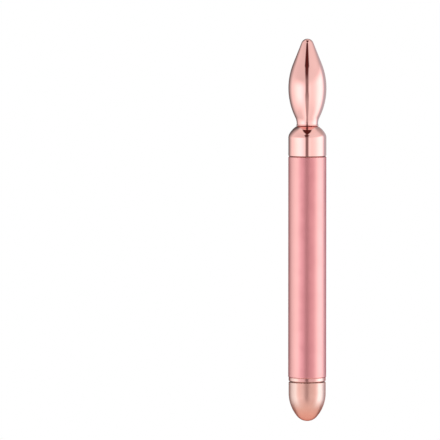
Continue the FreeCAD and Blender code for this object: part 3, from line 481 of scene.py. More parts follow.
@dataclass(frozen=True)
class BoardLaminate(Finish):
    """Green lacquered board with tracks under the lacquer, bare pads and a pale cut edge.

    The cut edge is rougher than the lacquer by edge_rough, and the lacquer has the coat.
    """

    face: float = 0.37
    pad: float = 0.075
    loop: float = 0.3
    half_loop: float = 0.045
    pitch: float = 1.6
    half_track: float = 0.12
    tracks_from: float = 25.5
    cells: float = 480.0
    uneven: float = 0.9
    weave: tuple[Triple, Triple] = ((1.0, 1.0, 0.15), (0.15, 1.0, 1.0))
    grain: float = 3500.0
    relief: float = 0.6
    depth: float = 0.012
    pad_metal: float = 0.9
    rough: float = 0.3
    edge_rough: float = 0.35
    coat: float = 0.4
    green: tuple[Colour, Colour] = ((0.012, 0.09, 0.035), (0.03, 0.19, 0.07))
    tin: Colour = (0.7, 0.68, 0.62)
    core: Colour = (0.42, 0.4, 0.22)

    def lay_down(self, sheet: ShaderSheet) -> None:
        """Lay tracks and pads on both faces.

        Args:
            sheet: The material's sheet.
        """
        x, y, z = sheet.axes(sheet.place())
        inputs = {"Vector": sheet.place((1.0, 0.0, 1.0)), "Scale": self.cells, "Randomness": self.uneven}
        spots = sheet.wire("ShaderNodeTexVoronoi", inputs, "Distance", distance="CHEBYCHEV")
        straight = abs((x / MM) % self.pitch - self.pitch / 2) < self.half_track
        tracks = (abs(spots - self.loop) < self.half_loop) + straight * (z > self.tracks_from * MM)
        pads = spots < self.pad
        warp, weft = (sheet.noise(sheet.place(way), self.grain) for way in self.weave)
        lacquer = sheet.blend(tracks > HALF, *self.green)
        lacquer = sheet.blend(pads, lacquer, self.tin)
        cut = abs(y / MM) < self.face
        sheet.feed("Base Color", sheet.blend(cut, lacquer, self.core))
        sheet.feed("Metallic", pads * (1 - cut) * self.pad_metal)
        sheet.feed("Roughness", cut * self.edge_rough + self.rough)
        sheet.feed("Coat Weight", (1 - cut) * self.coat)
        sheet.emboss(warp * weft + tracks * self.relief, self.depth)


@dataclass(frozen=True)
class PrintedCan(Finish):
    """Aluminium can on its side with a dark band on the negative side of its sleeve."""

    middle: float
    face: float
    height: float
    radius: float
    lip: float = 0.12
    rim: float = 0.28
    band: float = -0.62
    half_score: float = 0.09
    score_end: float = 0.7
    score_depth: float = 2.0
    metal: float = 0.95
    gloss: Pair = (0.28, 0.4)
    grain: float = 4000.0
    depth: float = 0.01
    sleeve: tuple[Colour, Colour] = ((0.015, 0.017, 0.022), (0.5, 0.5, 0.48))
    # The bare top's colour, and the darker colour of its score lines, which is painted shade in the grooves.
    bare: tuple[Colour, Colour] = ((0.8, 0.8, 0.79), (0.4, 0.4, 0.4))

    def lay_down(self, sheet: ShaderSheet) -> None:
        """Lay the sleeve, its band and the bare scored top.

        Args:
            sheet: The material's sheet.
        """
        x, y, z = sheet.axes(sheet.place(centre=(0.0, self.face * MM, self.middle * MM)))
        out = sheet.across(x, z) / MM
        top = (y / MM > self.height - self.lip) * (out < self.radius - self.rim)
        score = (abs(x / MM) < self.half_score) + (abs(z / MM) < self.half_score)
        score = (score * (out < self.radius - self.score_end)) > HALF
        fine = sheet.noise(sheet.place(), self.grain)
        sleeve = sheet.blend((x / MM) < self.band * self.radius, *self.sleeve)
        # The score lines take the darker of the two bare colours: painted shade in the grooves.
        sheet.feed("Base Color", sheet.blend(top, sleeve, sheet.blend(score, *self.bare)))
        sheet.feed("Metallic", top * self.metal)
        sheet.vary_gloss(fine, self.gloss)
        sheet.emboss(fine - score * self.score_depth, self.depth)


ROSE_PLATING = Skin(
    "rose_plating_finish",
    (0.93, 0.53, 0.49),
    (0.91, 0.51, 0.47),
    metal=1.0,
    gloss=(0.03, 0.06),
    patch=9.0,
    mark=0.25,
    mark_depth=0.00006,
)
# The three skins below carry a painted sheen: paler at a slant, in place of reflected light.
RING_PLATING = PaintedSheenSkin(
    "ring_plating_finish",
    (0.647, 0.314, 0.298),
    (0.627, 0.304, 0.288),
    metal=1.0,
    gloss=(0.19, 0.24),
    patch=7.0,
    mark=0.2,
    mark_depth=0.00008,
    lay=Lay.ROUND,
    pale=(0.821, 0.576, 0.52),
    slant=((0.0, 0.0), (0.06, 0.0), (0.1, 0.13), (0.15, 0.6), (0.22, 1.0)),
    edge=(0.9, 0.35, 0.35),
)
CHAMPAGNE_PLATING = PaintedSheenSkin(
    "champagne_plating_finish",
    (0.685, 0.376, 0.319),
    (0.662, 0.358, 0.303),
    metal=1.0,
    gloss=(0.33, 0.38),
    patch=5.0,
    mark=0.2,
    mark_depth=0.0001,
    pale=(0.79, 0.584, 0.528),
    slant=((0.0, 0.0), (0.1, 0.0), (0.15, 0.32), (0.22, 1.0)),
    # The cap's painted sheen goes out towards its nose, which leaves the nose darker: painted shade.
    painted_sheen_fade_below=(-62.5, -57.0),
    edge=(0.9, 0.42, 0.38),
)
ANODISED_ROSE = PaintedSheenSkin(
    "anodised_rose_finish",
    (0.72, 0.288, 0.303),
    (0.69, 0.273, 0.288),
    metal=1.0,
    gloss=(0.38, 0.43),
    patch=8.0,
    mark=0.12,
    mark_depth=0.0004,
    pale=(0.83, 0.447, 0.43),
    slant=((0.0, 0.0), (0.03, 0.0), (0.06, 0.13), (0.1, 0.52), (0.15, 0.88), (0.22, 1.0)),
    edge=(0.65, 0.25, 0.35),
)

# The others in the order of a skin's fields: name, colours, metal, gloss, patch, mark, its depth, lay, coat.
SOFT_RUBBER = Skin(
    "dark_rubber_finish", (0.03, 0.018, 0.017), (0.045, 0.028, 0.026), 0, (0.5, 0.65), 1.5, 0.1
)
WARM_RUBBER = Skin("warm_rubber_finish", (0.2, 0.075, 0.065), (0.16, 0.06, 0.055), 0, (0.4, 0.55), 1.5, 0.1)
TURNED_BRASS = Skin(
    "turned_brass_finish", (0.78, 0.56, 0.27), (0.68, 0.46, 0.2), 1, (0.2, 0.34), 3.0, 0.06, 0.001, Lay.ROUND
)
NICKEL_STEEL = Skin(
    "nickel_steel_finish", (0.68, 0.66, 0.62), (0.58, 0.56, 0.53), 1, (0.22, 0.36), 2.5, 0.08, 0.001
)
MOULDED_GREY = Skin(
    "moulded_carrier_finish", (0.62, 0.61, 0.58), (0.57, 0.56, 0.53), 0, (0.42, 0.55), 5.0, 0.12, 0.004
)
AMBER_FILM = Skin(
    "amber_film_finish", (0.62, 0.27, 0.045), (0.52, 0.2, 0.03), 0, (0.2, 0.32), 7, 0.9, 0.01, Lay.ALONG, 0.6
)
BLACK_MOULDING = Skin(
    "black_moulding_finish", (0.018, 0.018, 0.02), (0.03, 0.03, 0.032), 0, (0.38, 0.5), 2.0, 0.08, 0.003
)
PRESSED_FERRITE = Skin(
    "ferrite_finish", (0.05, 0.05, 0.052), (0.09, 0.085, 0.08), 0.2, (0.5, 0.66), 0.8, 0.08, 0.006
)
MAGNET_FERRITE = Skin(
    "magnet_ferrite_finish", (0.07, 0.068, 0.066), (0.11, 0.1, 0.095), 0.1, (0.55, 0.75), 1.2, 0.06, 0.008
)
CERAMIC = Skin(
    "heater_ceramic_finish", (0.82, 0.79, 0.72), (0.72, 0.68, 0.6), 0, (0.45, 0.6), 2.0, 0.08, 0.004
)
BEAD_GLASS = Skin(
    "bead_glass_finish", (0.36, 0.13, 0.05), (0.46, 0.19, 0.08), 0, (0.05, 0.12), 0.8, 0.2, 0.001, coat=1.0
)
RED_LEAD = Skin("red_lead_finish", (0.55, 0.02, 0.018), (0.45, 0.015, 0.015), 0, (0.3, 0.42), 2.0, 0.1)
WHITE_LEAD = Skin("white_lead_finish", (0.8, 0.79, 0.75), (0.72, 0.71, 0.67), 0, (0.3, 0.42), 2.0, 0.1)
ENAMELLED_COPPER = Skin(
    "enamelled_copper_finish", (0.72, 0.25, 0.1), (0.6, 0.19, 0.07), 1, (0.2, 0.3), 1.0, 0.1, coat=0.5
)
DRAWN_STEEL = Skin(
    "drawn_steel_finish", (0.6, 0.6, 0.58), (0.52, 0.52, 0.51), 1, (0.26, 0.4), 3.0, 0.06, 0.0015, Lay.ALONG
)
STACKED_STEEL = Bands(
    "laminated_steel_finish", (0.42, 0.42, 0.43), (0.12, 0.12, 0.13), 0.9, (0.35, 0.5), 1.5, 0.08
)
DARK_BRASS = Skin(
    "darkened_brass_finish", (0.46, 0.21, 0.18), (0.4, 0.18, 0.15), 1, (0.3, 0.42), 2, 0.06, 0.001, Lay.ROUND
)
SINTERED_BRONZE = Skin(
    "sintered_bronze_finish", (0.5, 0.33, 0.16), (0.36, 0.23, 0.12), 0.9, (0.4, 0.6), 0.5, 0.05, 0.006
)


# Making pieces.


def link_piece(name: str, mesh: bpy.types.Mesh) -> bpy.types.Object:
    """Put a mesh in the scene under a piece's name.

    Args:
        name: The piece's name.
        mesh: Its mesh.

    Returns:
        The piece.
    """
    piece = bpy.data.objects.new(name, mesh)
    bpy.context.scene.collection.objects.link(piece)
    return piece


def frame_body(node: str) -> str:
    """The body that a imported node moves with."""
    return frame["nodes"][node]["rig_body"]


@dataclass(frozen=True)
class Label:
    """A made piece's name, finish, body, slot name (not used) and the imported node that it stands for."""

    name: str
    finish: Finish
    body: str
    slot: str
    node: str = ""

    def fix(self, piece: bpy.types.Object) -> None:
        """Fix a plain piece to its body, and hide the imported node that it stands for.

        Args:
            piece: The piece.
        """
        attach(piece, self.body)
        if self.node:
            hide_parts(self.node)
        log.info("%s: %d faces, rides on %s", piece.name, len(piece.data.polygons), self.body)


def dress(finish: Finish, *nodes: str) -> None:
    """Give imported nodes, whose shapes are right as they are, their finish.

    Args:
        finish: The finish that they get.
        *nodes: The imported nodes.
    """
    for node in nodes:
        thing = frame["nodes"][node]
        if not thing.material_slots:
            thing.data.materials.append(None)
        for slot in thing.material_slots:
            slot.material = finish.material()
        log.info("%s: packed shape with %s", node, finish.name)


class GeometryTree(NodeSheet):
    """A geometry tree with named inputs that turns a plain mesh into a piece."""

    def __init__(self, name: str, **sizes: str) -> None:
        """Start a tree.

        Args:
            name: The tree's name.
            **sizes: Each size's name with its type of socket.
        """
        super().__init__(bpy.data.node_groups.new(name, "GeometryNodeTree"))
        for label, kind in {"Outline": "Geometry", **sizes, "Finish": "Material"}.items():
            self.tree.interface.new_socket(label, in_out="INPUT", socket_type=f"NodeSocket{kind}")
        self.tree.interface.new_socket("Geometry", in_out="OUTPUT", socket_type="NodeSocketGeometry")
        self.entry = self.node("NodeGroupInput")

    def given(self, label: str) -> Wire:
        """One of the tree's named inputs."""
        return Wire(self, self.entry.outputs[label])

    def point(self, x: Wire | float, y: Wire | float, z: Wire | float) -> Wire:
        """A vector of three values."""
        return self.wire("ShaderNodeCombineXYZ", {0: x, 1: y, 2: z})

    def tube(self, path: Wire, sides: int) -> Wire:
        """Lay the tree's round wire along a path, capped where the path is open.

        Args:
            path: The path.
            sides: How many faces go round the wire.

        Returns:
            The wire's surface.
        """
        inputs = {"Resolution": sides, "Radius": self.given("Wire")}
        section = self.wire("GeometryNodeCurvePrimitiveCircle", inputs)
        inputs = {"Curve": path, "Profile Curve": section, "Fill Caps": True}
        return self.wire("GeometryNodeCurveToMesh", inputs)

    def finish(self, geometry: Wire, smooth: bool = True) -> None:
        """End the tree: real geometry, smooth or flat faces and the finish's material.

        Args:
            geometry: What the tree made.
            smooth: Whether its faces are smooth.
        """
        real = self.wire("GeometryNodeRealizeInstances", {0: geometry})
        shaded = self.wire("GeometryNodeSetShadeSmooth", {"Geometry": real, "Shade Smooth": smooth})
        inputs = {"Geometry": shaded, "Material": self.given("Finish")}
        self.node("NodeGroupOutput", {0: self.wire("GeometryNodeSetMaterial", inputs)})

    def make(
        self, label: Label, outline: bpy.types.Mesh, place: Matrix | None = None, **sizes: float
    ) -> None:
        """Run the tree on an outline, keep the result as a plain closed mesh and fix it by its label.

        Args:
            label: The piece's label.
            outline: The mesh that the tree starts from.
            place: How the result is turned and moved.
            **sizes: The tree's sizes.
        """
        piece = link_piece(label.name, outline)
        modifier = piece.modifiers.new("making", "NODES")
        modifier.node_group = self.tree
        given = {**sizes, "Finish": label.finish.material()}
        for item in self.tree.interface.items_tree:
            if item.in_out == "INPUT" and item.name in given:
                modifier[item.identifier] = given[item.name]
        graph = bpy.context.evaluated_depsgraph_get()
        mesh = bpy.data.meshes.new_from_object(piece.evaluated_get(graph), depsgraph=graph)
        piece.modifiers.clear()
        if place is not None:
            mesh.transform(place)
        shell = bmesh.new()
        shell.from_mesh(mesh)
        bmesh.ops.remove_doubles(shell, verts=shell.verts, dist=WELD)
        bmesh.ops.recalc_face_normals(shell, faces=shell.faces)
        shell.to_mesh(mesh)
        shell.free()
        piece.data, mesh.name = mesh, label.name
        label.fix(piece)


class Turn(IntEnum):
    """Which way an arc bends."""

    LEFT = 1
    RIGHT = -1


class Cut(IntEnum):
    """Which way a thread is cut."""

    NONE = 0
    OUTWARDS = 1
    INWARDS = -1


class Profile:
    """Half a section in millimetres, from which the lathe turns a piece round the Z axis.

    Each row has its radius, its height and the thread's share of its depth. A thread is at full
    depth after one part in RUN_IN of its line. A corner turns by LEAST_TURN or more. Its arc takes
    up no more than MOST_SHARE of the line on either side, and a row on each side holds it, HOLD
    times as far out as the arc's end.
    """

    RUN_IN = 6.0
    LEAST_TURN = math.radians(20)
    MOST_SHARE = 0.3
    HOLD = 1.5
    CORNER_STEPS = 6

    def __init__(self, *points: Pair) -> None:
        """Begin at the first point and go straight to each of the others."""
        self.rows: list[Triple] = []
        self.to(*points)

    def to(self, *points: Pair) -> "Profile":
        """Go straight to each point in turn."""
        self.rows += [(*point, 0.0) for point in points]
        return self

    def stretch(self, radius: float, height: float, steps: int, cut: Cut = Cut.NONE) -> "Profile":
        """Go straight to a point in several rows.

        Args:
            radius: The point's radius.
            height: The point's height.
            steps: How many rows the line has.
            cut: Which way a thread is cut along it.

        Returns:
            The profile.
        """
        start = self.rows[-1]
        for step in range(1, steps + 1):
            part = step / steps
            ease = min(1.0, self.RUN_IN * part, self.RUN_IN * (1.0 - part)) * cut
            row = (start[0] + (radius - start[0]) * part, start[1] + (height - start[1]) * part, ease)
            self.rows.append(row)
        return self

    def arc(self, radius: float, height: float, bend: float, steps: int, turn: Turn = Turn.LEFT) -> "Profile":
        """Follow an arc of under half a circle to a point.

        Args:
            radius: The point's radius.
            height: The point's height.
            bend: The arc's own radius.
            steps: How many rows the arc has.
            turn: Which way it bends.

        Returns:
            The profile.
        """
        start, end = Vector(self.rows[-1][:2]), Vector((radius, height))
        chord = end - start
        rise = math.sqrt(max(bend * bend - chord.length_squared / 4, 0.0))
        middle = (start + end) / 2 + Vector((-chord.y, chord.x)).normalized() * rise * turn
        first, last = (math.atan2(tip.y - middle.y, tip.x - middle.x) for tip in (start, end))
        sweep = (last - first) * turn % math.tau * turn
        for step in range(1, steps + 1):
            angle = first + sweep * step / steps
            self.rows.append((middle.x + bend * math.cos(angle), middle.y + bend * math.sin(angle), 0.0))
        self.rows[-1] = (radius, height, 0.0)
        return self

    def outline(self, edge: float) -> bpy.types.Mesh:
        """The section as a chain of points, its corners rounded and held by a row on each side.

        Args:
            edge: The radius of the rounded corners.

        Returns:
            The chain as a mesh, closed by its first point once more where it closes.
        """
        closed = math.dist(self.rows[0][:2], self.rows[-1][:2]) < HAIR
        rows = self.rows[:-1] if closed else self.rows
        softened: list[Triple] = []
        for index, row in enumerate(rows):
            if closed or 0 < index < len(rows) - 1:
                softened += self._corner(rows[index - 1], row, rows[(index + 1) % len(rows)], edge)
            else:
                softened.append(row)
        if closed:
            softened.append(softened[0])
        mesh = bpy.data.meshes.new("profile")
        mesh.from_pydata([(radius * MM, 0.0, height * MM) for radius, height, _ in softened], [], [])
        cuts = mesh.attributes.new("cut", "FLOAT", "POINT")
        cuts.data.foreach_set("value", [cut for _, _, cut in softened])
        return mesh

    def _corner(self, before: Triple, row: Triple, after: Triple, edge: float) -> list[Triple]:
        """Round a row where the line turns sharply.

        Args:
            before: The row before it.
            row: The row.
            after: The row after it.
            edge: The radius of the rounded corner.

        Returns:
            The rows that stand for it, which is itself where the turn is slight.
        """
        corner = Vector(row[:2])
        arrive, leave = corner - Vector(before[:2]), Vector(after[:2]) - corner
        turning = arrive.angle(leave)
        if turning < self.LEAST_TURN:
            return [row]
        setback = min(edge * math.tan(turning / 2), self.MOST_SHARE * min(arrive.length, leave.length))
        back, on = arrive.normalized() * setback, leave.normalized() * setback
        points = [corner - back * self.HOLD]
        for step in range(self.CORNER_STEPS + 1):
            part = step / self.CORNER_STEPS
            rest = 1 - part
            points.append(rest**2 * (corner - back) + 2 * part * rest * corner + part**2 * (corner + on))
        points.append(corner + on * self.HOLD)
        return [(*point, 0.0) for point in points]


class Lathe(GeometryTree):
    """Turns a chain of points round the Z axis, and cuts a thread where the chain asks for one.

    The thread's pitch is in millimetres. A flank rises between two shares of half a turn.
    """

    PITCH = 1.0
    FLANK = (0.2, 0.8)

    def __init__(self) -> None:
        """Build the tree."""
        super().__init__("turned_piece", Segments="Int", Pitch="Float", Depth="Float")
        chain, segments = self.given("Outline"), self.given("Segments")
        count = self.wire("GeometryNodeAttributeDomainSize", {0: chain}, "Point Count")
        ring = segments + 1
        grid = self.wire("GeometryNodeMeshGrid", {"Vertices X": count, "Vertices Y": ring})
        index = self.wire("GeometryNodeInputIndex")
        row = self.math("FLOOR", (index + HALF) / ring)
        angle = (index - row * ring) * math.tau / segments
        where = self.wire("GeometryNodeInputPosition")
        share = self.wire("GeometryNodeInputNamedAttribute", {"Name": "cut"}, data_type="FLOAT")
        radius, _, height = self.axes(self._sample("FLOAT_VECTOR", where, chain, row))
        turn = (height / self.given("Pitch") - angle / math.tau) % 1.0
        ridge = self.remap(abs(turn * 2.0 - 1.0), self.FLANK)
        radius = radius + ridge * self.given("Depth") * self._sample("FLOAT", share, chain, row)
        place = self.point(radius * self.math("COSINE", angle), radius * self.math("SINE", angle), height)
        shaped = self.wire("GeometryNodeSetPosition", {"Geometry": grid, "Position": place})
        self.finish(self.wire("GeometryNodeMergeByDistance", {"Geometry": shaped, "Distance": WELD}))

    def _sample(self, kind: str, value: Wire, chain: Wire, row: Wire) -> Wire:
        """Read a value of a type from a row of the chain."""
        inputs = {"Geometry": chain, "Value": value, "Index": row}
        return self.wire("GeometryNodeSampleIndex", inputs, data_type=kind, domain="POINT")

    def turn(
        self,
        label: Label,
        profile: Profile,
        edge: float,
        segments: int = 192,
        depth: float = 0.0,
        place: Matrix | None = None,
    ) -> None:
        """Turn a piece whose corners have a radius and whose thread has a depth, in millimetres."""
        sizes = {"Segments": segments, "Pitch": self.PITCH * MM, "Depth": depth * MM}
        self.make(label, profile.outline(edge), place, **sizes)


def plain_ring(inner: float, outer: float, bottom: float, top: float) -> Profile:
    """The closed half section of a flat ring or a sleeve between two radii and two heights."""
    return Profile((inner, bottom), (outer, bottom), (outer, top), (inner, top), (inner, bottom))


def plain_disc(radius: float, bottom: float, top: float) -> Profile:
    """The half section of a disc or a rod between two heights."""
    return Profile((0.0, bottom), (radius, bottom), (radius, top), (0.0, top))


class CoilWinding(GeometryTree):
    """Wire wound in one close layer round a drum."""

    STEPS = 40
    SIDES = 8

    def __init__(self) -> None:
        """Build the tree."""
        super().__init__("drum_winding", Turns="Float", Radius="Float", Length="Float", Wire="Float")
        radius = self.given("Radius")
        inputs = {"Resolution": self.STEPS, "Rotations": self.given("Turns"), "Height": self.given("Length")}
        inputs |= {"Start Radius": radius, "End Radius": radius}
        self.finish(self.tube(self.wire("GeometryNodeCurveSpiral", inputs), self.SIDES))


class PoleWinding(GeometryTree):
    """Loops of wire round each pole of an armature, wider towards the rim.

    A loop stands at half its reach and a little more, and spans the chord of its pole less an
    allowance. Lengths are in millimetres.
    """

    POLES = 3
    FIRST_POLE = math.radians(30)
    AHEAD = 0.26
    CHORD = 0.866
    ALLOWANCE = 0.15
    PLAIN_WIDTH = 2.0
    BEND = 0.25
    BEND_STEPS = 3
    SIDES = 6

    def __init__(self) -> None:
        """Build the tree."""
        lengths = dict.fromkeys(("Start", "Step", "Height", "Wire"), "Float")
        super().__init__("pole_windings", Turns="Int", **lengths)
        turns = self.given("Turns")
        points = self.wire("GeometryNodeMeshLine", {"Count": turns * self.POLES})
        index = self.wire("GeometryNodeInputIndex")
        pole = self.math("FLOOR", (index + HALF) / turns)
        reach = self.given("Start") + (index - pole * turns) * self.given("Step")
        angle = self.FIRST_POLE + pole * (math.tau / self.POLES)
        out = reach / 2 + self.AHEAD * MM
        place = self.point(out * self.math("COSINE", angle), out * self.math("SINE", angle), 0.0)
        placed = self.wire("GeometryNodeSetPosition", {"Geometry": points, "Position": place})
        inputs = {"Width": self.PLAIN_WIDTH * MM, "Height": self.given("Height")}
        loop = self.wire("GeometryNodeCurvePrimitiveQuadrilateral", inputs)
        inputs = {"Curve": loop, "Radius": self.BEND * MM, "Count": self.BEND_STEPS}
        loop = self.wire("GeometryNodeFilletCurve", inputs, mode="POLY")
        inputs = {
            "Points": placed,
            "Instance": self.tube(loop, self.SIDES),
            "Rotation": self.point(math.pi / 2, 0.0, angle + math.pi / 2),
            "Scale": self.point((reach * self.CHORD - self.ALLOWANCE * MM) / MM, 1.0, 1.0),
        }
        self.finish(self.wire("GeometryNodeInstanceOnPoints", inputs))


class BlockRow(GeometryTree):
    """The same small block on each of some points."""

    def __init__(self) -> None:
        """Build the tree."""
        super().__init__("block_row", Block="Vector")
        block = self.wire("GeometryNodeMeshCube", {"Size": self.given("Block")})
        inputs = {"Points": self.given("Outline"), "Instance": block}
        self.finish(self.wire("GeometryNodeInstanceOnPoints", inputs), smooth=False)

    def lay(self, label: Label, places: Sequence[Triple], block: Triple) -> None:
        """Lay blocks at places. Lengths are in millimetres.

        Args:
            label: The label of the piece that they make together.
            places: The middle of each block.
            block: The block's three sizes.
        """
        mesh = bpy.data.meshes.new("places")
        mesh.from_pydata([tuple(value * MM for value in place) for place in places], [], [])
        self.make(label, mesh, Block=tuple(value * MM for value in block))


# Sub-assemblies. Sizes are in millimetres, heights are from the middle of the grip.


@dataclass
class MassagingHead:
    """Flame shaped warm head with its washer, nut, heater and sensor."""

    lathe: Lathe
    belly_radius: float = 8.25
    neck_radius: float = 4.62
    neck: float = 62.026
    tip: float = 99.026
    belly_rise: float = 15.6
    belly_curve: float = 28.5
    flank_angle: float = 21.8
    foot_radius: float = 4.95
    foot: float = 61.426
    foot_lip: float = 0.15
    shank_radius: float = 3.85
    shank_bottom: float = 57.026
    bore_radius: float = 3.1
    bore_end: float = 87.526
    washer: Sizes = (3.95, 4.4, 61.176, 61.426)
    heater: Sizes = (1.4, 3.0, 66.926, 86.926)
    bead_radius: float = 0.9
    bead: Pair = (82.726, 85.126)

    def build(self) -> None:
        """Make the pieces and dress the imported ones."""
        turn, radius, (bottom, top) = self.lathe.turn, self.bead_radius, self.bead
        bead = Profile((0.0, bottom), (radius, bottom), (radius, top - radius))
        bead.arc(0.0, top, radius, steps=12)
        label = Label("flame_head", ROSE_PLATING, "handle", "rose_plating", "massage_head")
        turn(label, self.section(), edge=0.06, segments=256)
        label = Label("soft_washer", WARM_RUBBER, "handle", "dark_rubber", "head_washer")
        turn(label, plain_ring(*self.washer), edge=0.04)
        label = Label("heater_tube", CERAMIC, "handle", "heater_ceramic", "heater_core")
        turn(label, plain_ring(*self.heater), edge=0.15, segments=96)
        label = Label("sensor_bead", BEAD_GLASS, "handle", "bead_glass", "thermistor")
        turn(label, bead, edge=0.1, segments=48)
        dress(NICKEL_STEEL, "head_nut")
        dress(RED_LEAD, "heater_leads")
        dress(WHITE_LEAD, "thermistor_leads")

    def section(self) -> Profile:
        """Shank, foot, neck cove, round belly, straight flank and ball tip in one line.

        Returns:
            The open section from the bore's end to the tip.
        """
        swell = self.belly_radius - self.neck_radius
        both = (self.belly_rise**2 + swell**2) / (2 * swell)
        cove = both - self.belly_curve
        cove_end = (self.neck_radius + cove * swell / both, self.neck + cove * self.belly_rise / both)
        sine, cosine = math.sin(math.radians(self.flank_angle)), math.cos(math.radians(self.flank_angle))
        flank_radius = self.belly_radius - self.belly_curve * (1 - cosine)
        flank = self.neck + self.belly_rise + self.belly_curve * sine
        ball = (flank_radius * cosine - sine * (self.tip - flank)) / (1 - sine)
        step = self.foot_radius - self.neck_radius
        rise = self.neck - self.foot - self.foot_lip
        section = Profile(
            (0.0, self.bore_end + self.bore_radius / 2),
            (self.bore_radius, self.bore_end),
            (self.bore_radius, self.shank_bottom),
            (self.shank_radius, self.shank_bottom),
            (self.shank_radius, self.foot),
            (self.foot_radius, self.foot),
            (self.foot_radius, self.foot + self.foot_lip),
        )
        fillet = (step**2 + rise**2) / (2 * step)
        section.arc(self.neck_radius, self.neck, fillet, steps=10, turn=Turn.RIGHT)
        section.arc(*cove_end, cove, steps=32, turn=Turn.RIGHT)
        section.arc(flank_radius, flank, self.belly_curve, steps=96)
        section.stretch(ball * cosine, self.tip - ball * (1 - sine), steps=12)
        return section.arc(0.0, self.tip, ball, steps=28)


@dataclass
class Collar:
    """Domed plated collar and the dark ring under it."""

    lathe: Lathe
    radius: float = 8.25
    bottom: float = 48.35
    dome: float = 56.1
    shoulder: float = 3.6
    crown: float = 8.9
    land_radius: float = 4.6
    land: float = 61.176
    hole: float = 3.95
    ceiling: float = 59.176
    ceiling_radius: float = 5.85
    bore: float = 6.8
    taper: float = 3.4
    spigot_radius: float = 7.45
    spigot_bottom: float = 41.5
    gasket: Sizes = (7.5, 7.9, 48.0, 48.35)

    def build(self) -> None:
        """Make the collar and its ring."""
        label = Label("domed_collar", ROSE_PLATING, "handle", "rose_plating", "collar")
        self.lathe.turn(label, self.section(), edge=0.08, segments=256)
        label = Label("seam_ring", WARM_RUBBER, "handle", "dark_rubber", "collar_gasket")
        self.lathe.turn(label, plain_ring(*self.gasket), edge=0.04)

    def section(self) -> Profile:
        """Spigot, straight skirt, rounded shoulder, crown and the land under the head.

        Returns:
            The closed section.
        """
        reach = self.crown - self.shoulder
        offset = self.radius - self.shoulder
        drop = math.sqrt(reach**2 - offset**2)
        share = self.crown / reach
        section = Profile(
            (self.bore, self.spigot_bottom),
            (self.spigot_radius, self.spigot_bottom),
            (self.spigot_radius, self.bottom),
            (self.radius, self.bottom),
            (self.radius, self.dome),
        )
        section.arc(offset * share, self.dome - drop + drop * share, self.shoulder, steps=40)
        section.arc(self.land_radius, self.land, self.crown, steps=24)
        return section.to(
            (self.hole, self.land),
            (self.hole, self.ceiling),
            (self.ceiling_radius, self.ceiling),
            (self.bore, self.ceiling - self.taper),
            (self.bore, self.spigot_bottom),
        )


@dataclass
class Grip:
    """Satin tube that the fingers hold, with the film sleeve round the cell's bay."""

    lathe: Lathe
    radius: float = 8.25
    bore: float = 7.5
    half_length: float = 48.0
    edge_break: float = 0.3
    seat_radius: float = 7.82
    seat_top: float = -39.2
    film: Sizes = (7.3, 7.45, -39.4, 8.6)

    def build(self) -> None:
        """Make the tube and the sleeve."""
        half, broken = self.half_length, self.edge_break
        tube = Profile(
            (self.seat_radius, -half),
            (self.radius - broken, -half),
            (self.radius, broken - half),
            (self.radius, half - broken),
            (self.radius - broken, half),
            (self.bore, half),
            (self.bore, self.seat_top),
            (self.seat_radius, self.seat_top),
            (self.seat_radius, -half),
        )
        label = Label("satin_tube", ANODISED_ROSE, "handle", "anodised_tube", "body_tube")
        self.lathe.turn(label, tube, edge=0.12, segments=256)
        label = Label("film_sleeve", AMBER_FILM, "handle", "amber_film", "insulating_sleeve")
        self.lathe.turn(label, plain_ring(*self.film), edge=0.02, segments=128)


